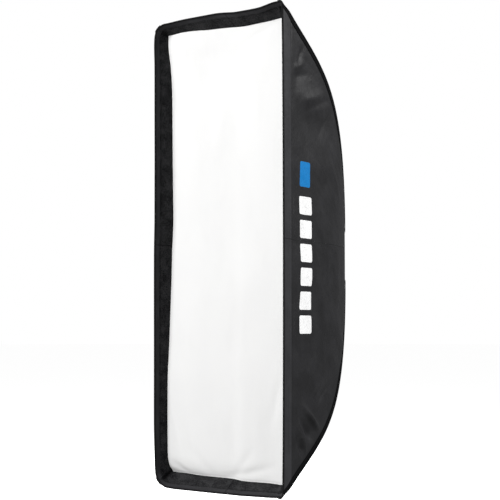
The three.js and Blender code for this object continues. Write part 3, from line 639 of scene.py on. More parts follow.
def loop_pile(name):
    """Loop tape: a matte nap of small tangled loops, with a sewn row near each edge."""
    s = Shade(name, (0.013, 0.013, 0.014), 0.96, Specular_IOR_Level=0.08, Sheen_Weight=0.03)
    uv, place = s.cloth(), s.place()
    u, v, _ = s.split(uv)
    nap = s.noise(place, 620.0, 4.0, 0.75)
    patches = s.noise(place, 60.0, 3.0)
    sewn = s.stitches(u, v, 0.004) + s.stitches(u, v, 0.036)
    # The marked places are darkened: painted shade in the crease beside each corner fold, and the
    # seams that cross the rim.
    fold = s.marked()
    nap_low, nap_high = (0.004, 0.004, 0.005, 1), (0.046, 0.046, 0.048, 1)
    shade = s.mix(s.ease(nap * 0.75 + patches * 0.25, 0.4, 0.6), nap_low, nap_high)
    dark = s.math("MAXIMUM", sewn, fold * 0.8)
    s.set("Base Color", s.mix(dark, shade, (0.003, 0.003, 0.004, 1)))
    relief = s.bump(nap, 0.0005)
    s.set("Normal", s.bump(1 - sewn, 0.0005, relief))
    return s


def ribbed_tape(name, colour, rib, rows):
    """Woven tape: ribs across it, slightly uneven, and rows of stitches along it."""
    s = Shade(name, colour, 0.8, Specular_IOR_Level=0.06)
    u, v, _ = s.split(s.cloth())
    ribs = s.waves(u, rib) * 0.5 + 0.5
    threads = s.waves(v, rib * 0.6) * 0.5 + 0.5
    uneven = s.noise(s.place(), 240.0, 2.0)
    shade = s.mix(ribs * (0.3 + uneven * 0.7), (*colour, 1), tinted(colour, 2.2))
    relief = s.bump(ribs * 0.7 + threads * 0.3, 0.00018)
    for at in rows:
        sewn = s.stitches(u, v, at)
        shade = s.mix(sewn, shade, (0.016, 0.016, 0.018, 1))
        relief = s.bump(sewn, 0.0004, relief)
    s.set("Base Color", shade)
    s.set("Roughness", 0.7 + uneven * 0.25)
    s.set("Normal", relief)
    return s


def silver_coating(name):
    """Silver coating on cloth: bright and slightly crinkled, with the weave beneath."""
    s = Shade(name, (0.62, 0.63, 0.64), 0.36, Metallic=0.75)
    uv, place = s.cloth(), s.place()
    u, v, _ = s.split(uv)
    crinkle = s.noise(place, 70.0, 5.0, 0.6)
    weave = s.weave(u, v, 0.0008)
    low, high = (0.5, 0.51, 0.52, 1), (0.74, 0.75, 0.76, 1)
    s.set("Base Color", s.mix(s.ease(crinkle, 0.3, 0.7), low, high))
    s.set("Roughness", 0.28 + crinkle * 0.2)
    s.set("Normal", s.bump(crinkle, 0.0012, s.bump(weave, 0.00005)))
    return s


def diffusion_cloth(name, colour):
    """White diffusion cloth: even plain weave, faint vertical streaks of a slightly duller white.
    """
    s = Shade(name, colour, 0.9, Specular_IOR_Level=0.2, Sheen_Weight=0.1)
    uv = s.cloth()
    u, v, _ = s.split(uv)
    weave = s.weave(u, v, 0.0006)
    marks = s.noise(s.stretched(uv, (7.0, 20.0, 1.0)), 1.0, 3.0)
    dull = tinted(colour, 0.975)
    s.set("Base Color", s.mix(s.ease(marks, 0.45, 0.75), (*colour, 1), dull))
    s.set("Roughness", 0.82 + marks * 0.14)
    s.set("Normal", s.bump(weave, 0.00004, s.bump(marks, 0.0008, strength=0.4)))
    return s


def machined(name, colour, roughness, metallic, along, wear):
    """Metal: fine tool lines along one direction, small scratches and worn high spots."""
    s = Shade(name, colour, roughness)
    place = s.place()
    lines = s.noise(s.stretched(place, along), 1.0, 2.0)
    grime = s.noise(place, 130.0, 4.0, 0.6)
    shade = s.mix(s.ease(grime, 0.3, 0.7), tinted(colour, 0.9), tinted(colour, 1.08))
    point = s.node("ShaderNodeNewGeometry", output="Pointiness")
    edge = s.ease(point, 0.51, 0.58) * wear
    s.set("Base Color", s.mix(edge, shade, (0.4, 0.41, 0.42, 1)))
    s.set("Metallic", metallic + edge * (1 - metallic))
    s.set("Roughness", roughness - 0.05 + lines * 0.1 + grime * 0.03)
    s.set("Normal", s.bump(lines, 0.00003, s.bump(grime, 0.00006)))
    return s


def moulded(name, colour, roughness, grain):
    """Moulded plastic or rubber: even fine grain with slightly polished patches."""
    s = Shade(name, colour, roughness, Specular_IOR_Level=0.45)
    place = s.place()
    pits = s.noise(place, grain, 3.0, 0.6)
    rubbed = s.noise(place, 95.0, 3.0)
    light = tinted(colour, 1.5, 0.004)
    s.set("Base Color", s.mix(s.ease(rubbed, 0.35, 0.7), (*colour, 1), light))
    s.set("Roughness", roughness - 0.1 + rubbed * 0.2)
    s.set("Normal", s.bump(pits, 0.00007))
    return s


CLOTH_FINISHES = {
    "coated nylon": lambda name, own: coated_nylon(name, tuple(own.shell_colour)),
    "printed nylon": lambda name, own: coated_nylon(name, tuple(own.shell_colour), print_bars),
    # The hem band is the shell nylon painted 1.9 times lighter: a painted sheen on the band. Its
    # marked places get painted shade.
    "hem nylon": lambda name, own: coated_nylon(
        name, tinted(own.shell_colour, 1.9)[:3], streaks=0.6
    ),
    "corner binding": lambda name, own: ribbed_tape(
        name, (0.0012, 0.0012, 0.0014), 0.0011, (-0.0095, 0.0095)
    ),
    "woven elastic": lambda name, own: ribbed_tape(
        name, (0.012, 0.012, 0.013), 0.0015, (0.003, 0.011)
    ),
    "loop pile": lambda name, own: loop_pile(name),
    "silver coating": lambda name, own: silver_coating(name),
    "diffusion cloth": lambda name, own: diffusion_cloth(name, tuple(own.diffuser_colour)),
}
METAL_FINISHES = {
    "spring_steel": ((0.45, 0.46, 0.48), 0.34, 1.0, (60.0, 60.0, 60.0), 0.1),
    "aluminium": ((0.7, 0.71, 0.72), 0.36, 1.0, (30.0, 1400.0, 30.0), 0.2),
    "black_metal": ((0.02, 0.02, 0.022), 0.42, 0.55, (700.0, 700.0, 700.0), 0.6),
    "screw_steel": ((0.35, 0.36, 0.38), 0.34, 1.0, (900.0, 300.0, 900.0), 0.3),
}
MOULDED_FINISHES = {
    "knob_plastic": ((0.015, 0.015, 0.016), 0.58, 1700.0),
    "nylon": ((0.8, 0.78, 0.72), 0.5, 900.0),
    "rubber": ((0.01, 0.01, 0.011), 0.85, 1300.0),
}
FINISHES = {}


def finish(name):
    """The finish of that name, made once."""
    if name not in FINISHES:
        if name in METAL_FINISHES:
            made = machined(name, *METAL_FINISHES[name])
        elif name in MOULDED_FINISHES:
            made = moulded(name, *MOULDED_FINISHES[name])
        else:
            made = CLOTH_FINISHES[name](name, bpy.context.scene.softbox)
        FINISHES[name] = made.material
    return FINISHES[name]


HARD_NODES = {
    "black_metal": ["speed_ring"] + [f"insert_clip_{i}" for i in (1, 2, 3)],
    "aluminium": ["bayonet_insert"],
    "screw_steel": ["lock_screw"] + [f"clip_screw_{i}" for i in (1, 2, 3)],
    "knob_plastic": ["lock_knob"],
    "nylon": ["brake_shoe"],
}
CORNERS = [
    (end, sz, hand, sx)
    for end, sz in (("upper", 1), ("lower", -1))
    for hand, sx in (("right", 1), ("left", -1))
]


# ---- Wall shapes ----
def wall_hold(depth, to_seam):
    """How free a wall is to crease: 0 at its sewn edges, 1 well inside them."""
    sewn = smooth(to_seam, 0.011, 0.045)
    return sewn * smooth(depth, 0.030, 0.050) * (1 - smooth(depth, 0.30, 0.338))


def side_relief(hand, depth, z, sizes):
    """A side wall's height over its flat shape: slack, fine tension and creases."""
    creases, swellings = (
        (RIGHT_CREASES, RIGHT_SWELLINGS) if hand == "right" else (LEFT_CREASES, LEFT_SWELLINGS)
    )
    seed = SEEDS[hand]
    slack = cloth_noise(depth, z, 0.070, seed) * 1.1 + cloth_noise(depth, z, 0.031, seed + 1) * 0.5
    fine = cloth_noise(depth + z * 0.4, z, 0.014, seed + 2) * 0.16
    _, half = SEAM.half_size(depth)
    free = wall_hold(depth, half - np.abs(z))
    shape = creased(depth, z, creases) + swollen(depth, z, swellings)
    return free * sizes.crease_height * (shape + (1.9 * slack + 1.7 * fine) * MM)


def end_relief(end, depth, x, sizes):
    """An end wall's height over its flat shape: slack and soft cross ripples."""
    seed = SEEDS[end]
    slack = cloth_noise(x, depth, 0.080, seed) * 1.2 + cloth_noise(x, depth, 0.034, seed + 1) * 0.6
    ripple = np.sin((depth * 1.3 + x * 0.5) / 0.011 + cloth_noise(x, depth, 0.05, seed + 2) * 2)
    half, _ = SEAM.half_size(depth)
    free = wall_hold(depth, half - np.abs(x))
    return free * sizes.crease_height * (slack + ripple * 0.22) * MM


def lowest(relief, u, v, reach):
    """The lowest relief at a point and at the points one reach away on every side."""
    if not reach:
        return relief(u, v)
    steps = (-reach, 0.0, reach)
    return np.min([relief(u + i, v + j) for i in steps for j in steps], axis=0)


def tucked(depth, sizes):
    """How far a wall's front edge slips under the hem band."""
    return -0.0009 * (1 - smooth(depth, sizes.hem_depth, sizes.hem_depth + 0.004))


def side_wall(hand, low, high, rows, columns, inset, sizes, first_depth,
              last_depth=SHELL_DEPTH, reach=0.0):
    """Grid of a side wall. Rows follow the seam, columns run straight between two
    heights. A point is the seam's x and depth, moved along the wall's normal by its
    relief less the inset. low and high are shares of the seam's height, or heights."""
    sx = 1 if hand == "right" else -1
    t = np.linspace(*SEAM.parameter(np.array((first_depth, last_depth))), rows)
    p = SEAM.at(t)
    side, _, _ = SEAM.normals(t)
    share = np.linspace(0, 1, columns)
    z0, z1 = low(p[:, 2]), high(p[:, 2])
    z = z0[:, None] + (z1 - z0)[:, None] * share
    depth = np.broadcast_to(p[:, 1:2], z.shape)
    relief = lowest(lambda u, v: side_relief(hand, u, v, sizes), depth, z, reach)
    out = relief - inset + tucked(depth, sizes)
    points = np.stack(
        [
            sx * (p[:, :1] + side[:, :1] * out),
            depth + side[:, 1:2] * out,
            z,
        ],
        axis=-1,
    )
    along = np.interp(t, SEAM.t, SEAM.side_length)[:, None] + 0 * z
    return settled(points, sizes), z, along


def end_wall(end, rows, columns, inset, sizes, first_depth, margin,
             last_depth=SHELL_DEPTH, reach=0.0):
    """Grid of the top or bottom wall. Rows follow the seam, columns run straight
    across. A point is moved along the wall's normal by its relief less the inset."""
    sz = 1 if end == "top" else -1
    t = np.linspace(*SEAM.parameter(np.array((first_depth, last_depth))), rows)
    p = SEAM.at(t)
    _, normal, _ = SEAM.normals(t)
    x = (p[:, :1] - margin) * np.linspace(-1, 1, columns)
    depth = np.broadcast_to(p[:, 1:2], x.shape)
    relief = lowest(lambda u, v: end_relief(end, u, v, sizes), depth, x, reach)
    out = relief - inset + tucked(depth, sizes)
    points = np.stack(
        [x, depth + normal[:, 1:2] * out, sz * (p[:, 2:3] + normal[:, 2:3] * out)], axis=-1
    )
    along = np.interp(t, SEAM.t, SEAM.end_length)[:, None] + 0 * x
    return settled(points, sizes), x, along


def add_wall(name, node, build, thickness, material, slot):
    """A wall as a closed sheet from its outer grid and the same grid further in."""
    outer, across, along = build(0.0)
    inner = build(thickness)[0]
    piece = closed_sheet(name, outer, inner, along, across)
    dress(piece, "box", slot, material, node)
    flat = (float(np.ptp(along)), float(np.ptp(across)))
    area = min(grid_area(outer), flat[0] * flat[1])


# ---- Rings that run round the rim ----
def rim_square():
    """Points round a square from -1 to 1, closer near its corners: x share, z share,
    and the length run round the rim."""
    def side(length, seam):
        fine = np.concatenate([[0, 0.0012, 0.0026], np.arange(0.005, 0.041, 0.0025)])
        middle = np.linspace(0.046, length - 0.046, int((length - 0.092) / 0.006))
        sewn = np.linspace(-0.005, 0.005, 13)
        seams = [length / 2 + seam + sewn, length / 2 - seam + sewn]
        far = np.abs(np.abs(middle - length / 2) - abs(seam)) > 0.006
        place = np.unique(np.concatenate([fine, middle[far], *seams, length - fine]))
        return (2 * place / length - 1)[:-1], place[:-1]

    width, height = 2 * SEAM_GUIDES[0, 0], 2 * SEAM_GUIDES[0, 2]
    across, run_across = side(width, END_SEAM_X)
    up, run_up = side(height, MID_SEAM_Z)
    one, tall = np.ones_like(across), np.ones_like(up)
    a = np.concatenate([across, tall, -across, -tall])
    b = np.concatenate([-one, up, one, -up])
    run = np.concatenate(
        [run_across, width + run_up, width + height + run_across, 2 * width + height + run_up]
    )
    return a, b, np.append(run, 2 * (width + height))


def lip_line(depth, sizes, out=0.0):
    """Half width and half height of the lip's face that looks into the room."""
    rim = sizes.rim_thickness
    end_x, end_z = SEAM.half_size(np.array(sizes.lip_depth))
    share = depth / sizes.lip_depth
    start_x, start_z = SEAM_GUIDES[0, 0] - rim, SEAM_GUIDES[0, 2] - rim
    return (
        start_x + share * (end_x - LIP_FLARE - start_x) + out,
        start_z + share * (end_z - LIP_TO_WALL - start_z) + out,
    )


def ring_points(half_x, depth, half_z, sizes):
    """A section of half widths, depths and half heights carried round the rim."""
    a, b, run = rim_square()
    points = np.stack(
        [a[:, None] * half_x, np.broadcast_to(depth, (len(a), len(depth))), b[:, None] * half_z],
        axis=-1,
    )
    return settled(points, sizes), run


def path_length(x, y):
    return np.concatenate([[0], np.cumsum(np.hypot(np.diff(x), np.diff(y)))])


# ---- Settings ----
def length_setting(name, description, default, least, most):
    return FloatProperty(
        name=name, description=description, default=default, min=least, max=most,
        unit="LENGTH", subtype="DISTANCE",
    )


def colour_setting(name, description, default):
    return FloatVectorProperty(
        name=name, description=description, default=default, min=0, max=1, subtype="COLOR"
    )


class SoftboxSettings(bpy.types.PropertyGroup):
    """Sizes and colours of the softbox's cloth."""

    hem_depth: length_setting(
        "Hem band", "Depth of the rim's outer band",
        0.030, 0.01, 0.06,
    )
    hem_fold: length_setting(
        "Hem fold", "Depth of the hem's fold inside the rim",
        0.009, 0.004, 0.02,
    )
    rim_thickness: length_setting(
        "Rim thickness", "Width across the folded front edge",
        0.0028, 0.001, 0.006,
    )
    lip_depth: length_setting(
        "Lip depth", "Depth of the loop-tape lip",
        0.050, 0.03, 0.08,
    )
    corner_radius_left: length_setting(
        "Left corner radius", "Rounding of the rim's left corners",
        0.026, 0.001, 0.05,
    )
    corner_radius_right: length_setting(
        "Right corner radius", "Rounding of the rim's right corners",
        0.008, 0.001, 0.05,
    )
    cloth_thickness: length_setting(
        "Cloth thickness", "Thickness of the shell cloth",
        0.0009, 0.0003, 0.003,
    )
    binding_width: length_setting(
        "Binding width", "Width of the corner tape on each wall",
        0.012, 0.005, 0.02,
    )
    border_width: length_setting(
        "Diffuser border", "Depth of the diffuser's turned-back border",
        0.012, 0.005, 0.014,
    )
    crease_height: FloatProperty(
        name="Crease height", description="Share of the creases' full height",
        default=1.0, min=0.0, max=1.5, subtype="FACTOR",
    )
    bar_pitch: length_setting(
        "Bar pitch", "Distance between the printed bars",
        0.045, 0.02, 0.08,
    )
    bars_above: IntProperty(
        name="Bars above", description="Printed bars above the middle seam",
        default=2, min=0, max=6,
    )
    bars_below: IntProperty(
        name="Bars below", description="Printed bars below the middle seam",
        default=4, min=0, max=6,
    )
    shell_colour: colour_setting(
        "Shell colour", "Colour of the coated nylon", (0.0135, 0.0135, 0.0149)
    )
    diffuser_colour: colour_setting(
        "Diffuser colour", "Colour of the diffusion cloth", (0.93, 0.93, 0.925)
    )
    bar_blue: colour_setting(
        "Blue bar", "Colour of the short printed bar", (0.0, 0.19, 0.52)
    )
    bar_white: colour_setting(
        "White bars", "Colour of the row of printed bars", (0.94, 0.94, 0.94)
    )


# ---- Operators ----
class SOFTBOX_OT_panels(bpy.types.Operator):
    """Sew the six outer walls: top, bottom, and each side in two pieces"""

    bl_idname = "softbox.panels"
    bl_label = "Shell panels"

    def execute(self, context):
        sizes = context.scene.softbox
        plain = finish("coated nylon")
        printed = finish("printed nylon")
        start = sizes.hem_depth - 0.003
        for end in ("top", "bottom"):
            def build(inset, end=end):
                return end_wall(end, 120, 110, inset, sizes, start, 0.0012)

            add_wall(f"{end}_wall", f"{end}_panel", build, sizes.cloth_thickness,
                     plain, "shell_fabric")
        for hand in ("right", "left"):
            for half, low, high in (
                ("upper", lambda s: 0 * s + MID_SEAM_Z + 0.0002, lambda s: s),
                ("lower", lambda s: -s, lambda s: 0 * s + MID_SEAM_Z - 0.0002),
            ):
                def build(inset, hand=hand, low=low, high=high):
                    return side_wall(hand, low, high, 150, 190, inset, sizes, start)

                add_wall(f"{hand}_wall_{half}", f"{hand}_panel_{half}", build,
 sizes.cloth_thickness,
                         printed if hand == "right" else plain, "shell_fabric")
        return {"FINISHED"}


class SOFTBOX_OT_lining(bpy.types.Operator):
    """Line the four walls with silver cloth"""

    bl_idname = "softbox.lining"
    bl_label = "Silver lining"

    def execute(self, context):
        sizes = context.scene.softbox
        silver = finish("silver coating")
        under, first, last, reach = sizes.cloth_thickness + LINING_GAP, 0.053, 0.342, 0.007
        for end in ("top", "bottom"):
            def build(inset, end=end):
                return end_wall(end, 70, 60, inset + under, sizes, first, 0.003, last, reach)

            add_wall(f"{end}_lining", f"lining_{end}", build, LINING_THICKNESS, silver,
                     "silver_lining")
        for hand in ("right", "left"):
            def build(inset, hand=hand):
                return side_wall(hand, lambda s: 0.003 - s, lambda s: s - 0.003, 80, 170,
                                 inset + under, sizes, first, last, reach)

            add_wall(f"{hand}_lining", f"lining_{hand}", build, LINING_THICKNESS, silver,
                     "silver_lining")
        return {"FINISHED"}


class SOFTBOX_OT_bindings(bpy.types.Operator):
    """Bind the four corner seams with folded tape"""

    bl_idname = "softbox.bindings"
    bl_label = "Corner bindings"

    def execute(self, context):
        """Across the tape, s runs from -1 on the side wall to 1 on the end wall. The
        point is the seam's, less the tape's width times the soft positive part of s
        along x and of -s along z, moved out along the two walls' normals."""
        sizes = context.scene.softbox
        tape = finish("corner binding")
        t = np.linspace(0, 1, 190)[:, None]
        s = np.concatenate([np.linspace(-1, -0.1, 8), np.linspace(-0.07, 0.07, 7),
                            np.linspace(0.1, 1, 8)])[None, :]
        p = SEAM.at(t[:, 0])[:, None, :]
        side, end, along = (a[:, None, :] for a in SEAM.normals(t[:, 0]))
        bend = np.sqrt(s * s + 0.04**2)
        width = sizes.binding_width
        leg = width / np.sqrt(1 - along[..., 2] ** 2)
        on_end = smooth(s, -0.05, 0.05) ** 0.5
        on_side = smooth(-s, -0.05, 0.05) ** 0.5
        length = np.interp(t, SEAM.t, path_length(*SEAM.point[:, 1:].T))
        for where_z, sz, where_x, sx in CORNERS:
            def face(out):
                points = np.broadcast_to(p, (t.shape[0], s.shape[1], 3)).copy()
                points += out * (side * on_side[..., None] + end * on_end[..., None])
                points[..., 0] -= width * (bend + s) / 2
                points[..., 2] -= leg * (bend - s) / 2
                return settled(points * (sx, 1, sz), sizes)

            edge = 0.0005 * smooth(np.abs(s), 0.9, 1.0)
            where = f"{where_z}_{where_x}"
            outer, inner = face((0.0012 - edge)[..., None]), face(0.0003)
            piece = closed_sheet(f"corner_tape_{where}", outer, inner, length + 0 * s,
                                 s * width + 0 * t)
            dress(piece, "box", "binding", tape, f"corner_binding_{where}")
        return {"FINISHED"}


class SOFTBOX_OT_hem(bpy.types.Operator):
    """Fold the front hem round the rim as one band"""

    bl_idname = "softbox.hem"
    bl_label = "Front hem"

    def execute(self, context):
        """The section runs forwards along the wall, round the front in a half circle,
        back along the lip to the end of the fold, and the same way back inside it."""
        sizes = context.scene.softbox
        radius, thick = sizes.rim_thickness / 2, HEM_THICKNESS
        turn = np.linspace(0, np.pi, 9)[1:-1]
        band = np.linspace(sizes.hem_depth, radius, 12)
        fold = np.linspace(radius, sizes.hem_fold, 5)
        puff = 0.0004 + 0.0004 * np.sin(np.pi * (band - radius) / (sizes.hem_depth - radius))
        wall_x, wall_z = SEAM.half_size(band)
        lip_x, lip_z = lip_line(fold, sizes)
        inner = radius - thick

        def section(wall, lip):
            """Outer face, front, fold, then the inner faces in reverse."""
            front = wall[-1] + puff[-1] - radius
            return np.concatenate([
                wall + puff, front + radius * np.cos(turn), lip, lip[-1:] + thick / 2,
                lip[::-1] + thick, front - inner * np.cos(turn),
                (wall + puff - thick)[::-1],
            ])

        depth = np.concatenate([
            band, radius - radius * np.sin(turn), fold, fold[-1:] + 0.0003,
            fold[::-1], radius - inner * np.sin(turn), band[::-1],
        ])
        half_x, half_z = section(wall_x, lip_x), section(wall_z, lip_z)
        points, run = ring_points(half_x, depth, half_z, sizes)
        across = path_length(np.append(half_x, half_x[0]), np.append(depth, depth[0]))
        piece = closed_loop("front_hem", points, run, across)
        # Painted shade: the front of the fold is darkened all round the rim, where it lies in
        # shade.
        shaded_front_fold = 1 - smooth(depth, 0.0016, 0.0030)
        # A dark line at the band's back edge: its row of stitches, and a painted shadow where the
        # wall tucks under the band.
        edge = np.exp(-(((depth - sizes.hem_depth + 0.0004) / 0.0011) ** 2))
        # The hem's finish darkens these places near black. The seams that cross the rim are dark
        # seams.
        shade_and_seam_mark(piece, np.maximum(shaded_front_fold, edge)[None, :] + 0.8 * rim_seams(points))
        dress(piece, "box", "shell_fabric", finish("hem nylon"),
              *(f"front_hem_{s}" for s in SIDES))
        return {"FINISHED"}


class SOFTBOX_OT_lip(bpy.types.Operator):
    """Sew the loop-tape lip round the inside of the rim"""

    bl_idname = "softbox.lip"
    bl_label = "Loop-tape lip"

    def execute(self, context):
        """The section is a thin strip along the lip line. At each corner the tape is
        folded over itself: a ridge across it, a bell of the distance to the corner."""
        sizes = context.scene.softbox
        depth = np.linspace(sizes.hem_fold - 0.001, sizes.lip_depth, 14)
        thick = TAPE_THICKNESS

        def strip(axis):
            face = lip_line(depth, sizes, 0.0003)[axis]
            return np.concatenate([face, face[-1:] + thick / 2, face[::-1] + thick])

        depths = np.concatenate([depth, depth[-1:] + 0.0003, depth[::-1]])
        a, b, _ = rim_square()
        points, run = ring_points(strip(0), depths, strip(1), sizes)
        to_corner = np.minimum(1 - np.abs(a), 1) * SEAM_GUIDES[0, 0] + (
            np.minimum(1 - np.abs(b), 1) * SEAM_GUIDES[0, 2]
        )
        ridge = 0.0012 * np.exp(-(((to_corner - 0.009) / 0.004) ** 2))
        slack = cloth_noise(run[:-1, None] + 0 * depths, depths + 0 * run[:-1, None], 0.016, 5)
        lift = ridge[:, None] + 0.00035 * slack + 0.0006 * rim_seams(points)
        points[..., 0] -= np.where(np.abs(a) > np.abs(b), np.sign(a), 0)[:, None] * lift
        points[..., 2] -= np.where(np.abs(b) > np.abs(a), np.sign(b), 0)[:, None] * lift
        across = path_length(np.append(strip(0), strip(0)[0]), np.append(depths, depths[0]))
        piece = closed_loop("front_lip", points, run, across)
        # Painted shade: a band beside each corner's ridge, in the fold's crease, is marked for the
        # finish to darken. The seams are marked too.
        fold = np.exp(-(((to_corner - 0.0045) / 0.0022) ** 2))
        shade_and_seam_mark(piece, fold[:, None] + rim_seams(points))
        dress(piece, "box", "loop_tape", finish("loop pile"),
              *(f"lip_tape_{s}" for s in SIDES))
        return {"FINISHED"}


class SOFTBOX_OT_diffuser(bpy.types.Operator):
    """Stretch the front diffuser across the lip, its border turned back"""

    bl_idname = "softbox.diffuser"
    bl_label = "Front diffuser"

    def execute(self, context):
        """The depth is blended from the four edges' depths, a Coons patch: left to
        right plus bottom to top, less the corners' own blend, plus soft wrinkles. Past
        the edge the cloth follows the lip back, with a narrow open mitre at each corner."""
        sizes = context.scene.softbox
        border = np.linspace(0, 1, 5)[1:]

        def shares(count):
            """Places across the cloth from -1 to 1, closer near the edges, and past them."""
            across = np.sin(np.linspace(-1, 1, count) * np.pi / 2)
            return np.concatenate([-1 - border[::-1], across, 1 + border])

        a, b = np.meshgrid(shares(76), shares(150), indexing="ij")
        past_a, past_b = np.maximum(np.abs(a) - 1, 0), np.maximum(np.abs(b) - 1, 0)
        on_a = np.clip(a, -1, 1) * (1 - 0.006 * past_b)
        on_b = np.clip(b, -1, 1) * (1 - 0.002 * past_a)
        past = np.maximum(past_a, past_b)
        left, right = through(DIFFUSER_LEFT), through(DIFFUSER_RIGHT, 20)
        top, bottom = through(DIFFUSER_TOP, 7), through(DIFFUSER_BOTTOM, 7)
        wide, tall = DIFFUSER_HALF
        x, z = on_a * wide, on_b * tall
        s, t = (on_a + 1) / 2, (on_b + 1) / 2
        both = {
            (i, j): ((left, right)[i]((-tall, tall)[j]) + (bottom, top)[j]((-wide, wide)[i])) / 2
            for i in (0, 1)
            for j in (0, 1)
        }
        depth = (1 - s) * left(z) + s * right(z) + (1 - t) * bottom(x) + t * top(x)
        depth -= (1 - s) * (1 - t) * both[0, 0] + s * (1 - t) * both[1, 0]
        depth -= (1 - s) * t * both[0, 1] + s * t * both[1, 1]
        seed = SEEDS["diffuser"]
        inside = (1 - on_a**2) * (1 - on_b**2)
        waves = cloth_noise(x, z * 0.4, 0.04, seed) * 0.0004
        waves += cloth_noise(x, z, 0.09, seed + 1) * 0.0012
        depth += inside * waves
        depth += 1.6 * smooth(inside, 0, 0.02) * creased(x, z, DIFFUSER_CREASES)
        depth += 0.0009 * smooth(np.maximum(np.abs(on_a), np.abs(on_b)), 0.985, 1)
        depth += past * sizes.border_width
        half_x, half_z = lip_line(depth, sizes, -0.0006)
        points = np.stack([on_a * half_x, depth, on_b * half_z], axis=-1)
        outer = settled(points, sizes)
        normals = grid_normals(outer)
        sign = -1 if normals[tuple(np.array(a.shape) // 2)][1] > 0 else 1
        inner = outer - sign * DIFFUSER_THICKNESS * normals
        past_cell = [np.abs(w[:-1, :-1] + w[1:, 1:]) / 2 > 1 for w in (a, b)]
        keep = ~(past_cell[0] & past_cell[1])
        piece = closed_sheet("diffuser_cloth", outer, inner, b * 0.43, a * wide, keep)
        dress(piece, "diffuser", "diffusion", finish("diffusion cloth"), "front_diffuser")
        return {"FINISHED"}


class SOFTBOX_OT_baffle(bpy.types.Operator):
    """Hang the inner baffle on its four elastic straps"""

    bl_idname = "softbox.baffle"
    bl_label = "Inner baffle"

    def execute(self, context):
        """The baffle is a flat sheet whose edges are drawn in between the straps by a
        parabola, with a slight sag. A strap is a straight band with a shallow dip, as
        long as the gap between the baffle and the lining."""
        sizes = context.scene.softbox
        low, high = (np.array(c) - (0, RIM_Y, 0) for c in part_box("inner_baffle"))
        middle, half = (low + high) / 2, (high - low) / 2
        a, b = np.meshgrid(np.linspace(-1, 1, 60), np.linspace(-1, 1, 130), indexing="ij")
        x = a * (half[0] - 0.003 * (1 - b * b) * np.abs(a))
        z = b * (half[2] - 0.003 * (1 - a * a) * np.abs(b))
        sag = 0.0016 * (1 - a * a) * (1 - b * b) + 0.0005 * cloth_noise(x, z, 0.05, 97)
        to_edge = np.minimum(half[0] - np.abs(x), half[2] - np.abs(z))
        hem = 0.0005 * (1 - smooth(to_edge, 0.009, 0.0105))
        outer = np.stack([x, middle[1] - 0.0004 + sag - hem, z], axis=-1)
        inner = outer + np.stack([0 * x, 0.0008 + 2 * hem, 0 * z], axis=-1)
        piece = closed_sheet("baffle_cloth", outer, inner, z, x)
        dress(piece, "box", "diffusion", finish("diffusion cloth"), "inner_baffle")
        elastic = finish("woven elastic")
        for where_z, _, where_x, _ in CORNERS:
            node = f"baffle_strap_{where_z}_{where_x}"
            low, high = (np.array(c) - (0, RIM_Y, 0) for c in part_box(node))
            share, across = np.meshgrid(
                np.linspace(0, 1, 24), np.linspace(-1, 1, 9), indexing="ij"
            )
            narrow = 1 - 0.1 * np.sin(np.pi * share)
            center = (low + high) / 2
            lining = SEAM.half_size(center[1])[0] - sizes.cloth_thickness - 0.0012 + lowest(
                lambda u, v: side_relief(where_x, u, v, sizes), center[1], center[2], 0.007
            )
            ends = np.clip((low[0], high[0]), -lining, lining)
            x = ends[0] + share * (ends[1] - ends[0])
            z = (low[2] + high[2]) / 2 + across * narrow * (high[2] - low[2]) / 2
            dip = (low[1] + high[1]) / 2 + 0.0008 * np.sin(np.pi * share)
            outer = np.stack([x, dip - 0.0004, z], axis=-1)
            inner = np.stack([x, dip + 0.0004, z], axis=-1)
            strap = closed_sheet(f"elastic_strap_{where_z}_{where_x}", outer, inner, x, z - low[2])
            dress(strap, "box", "elastic", elastic, node)
        float(2 * half[0])
        float(2 * half[2])
        return {"FINISHED"}


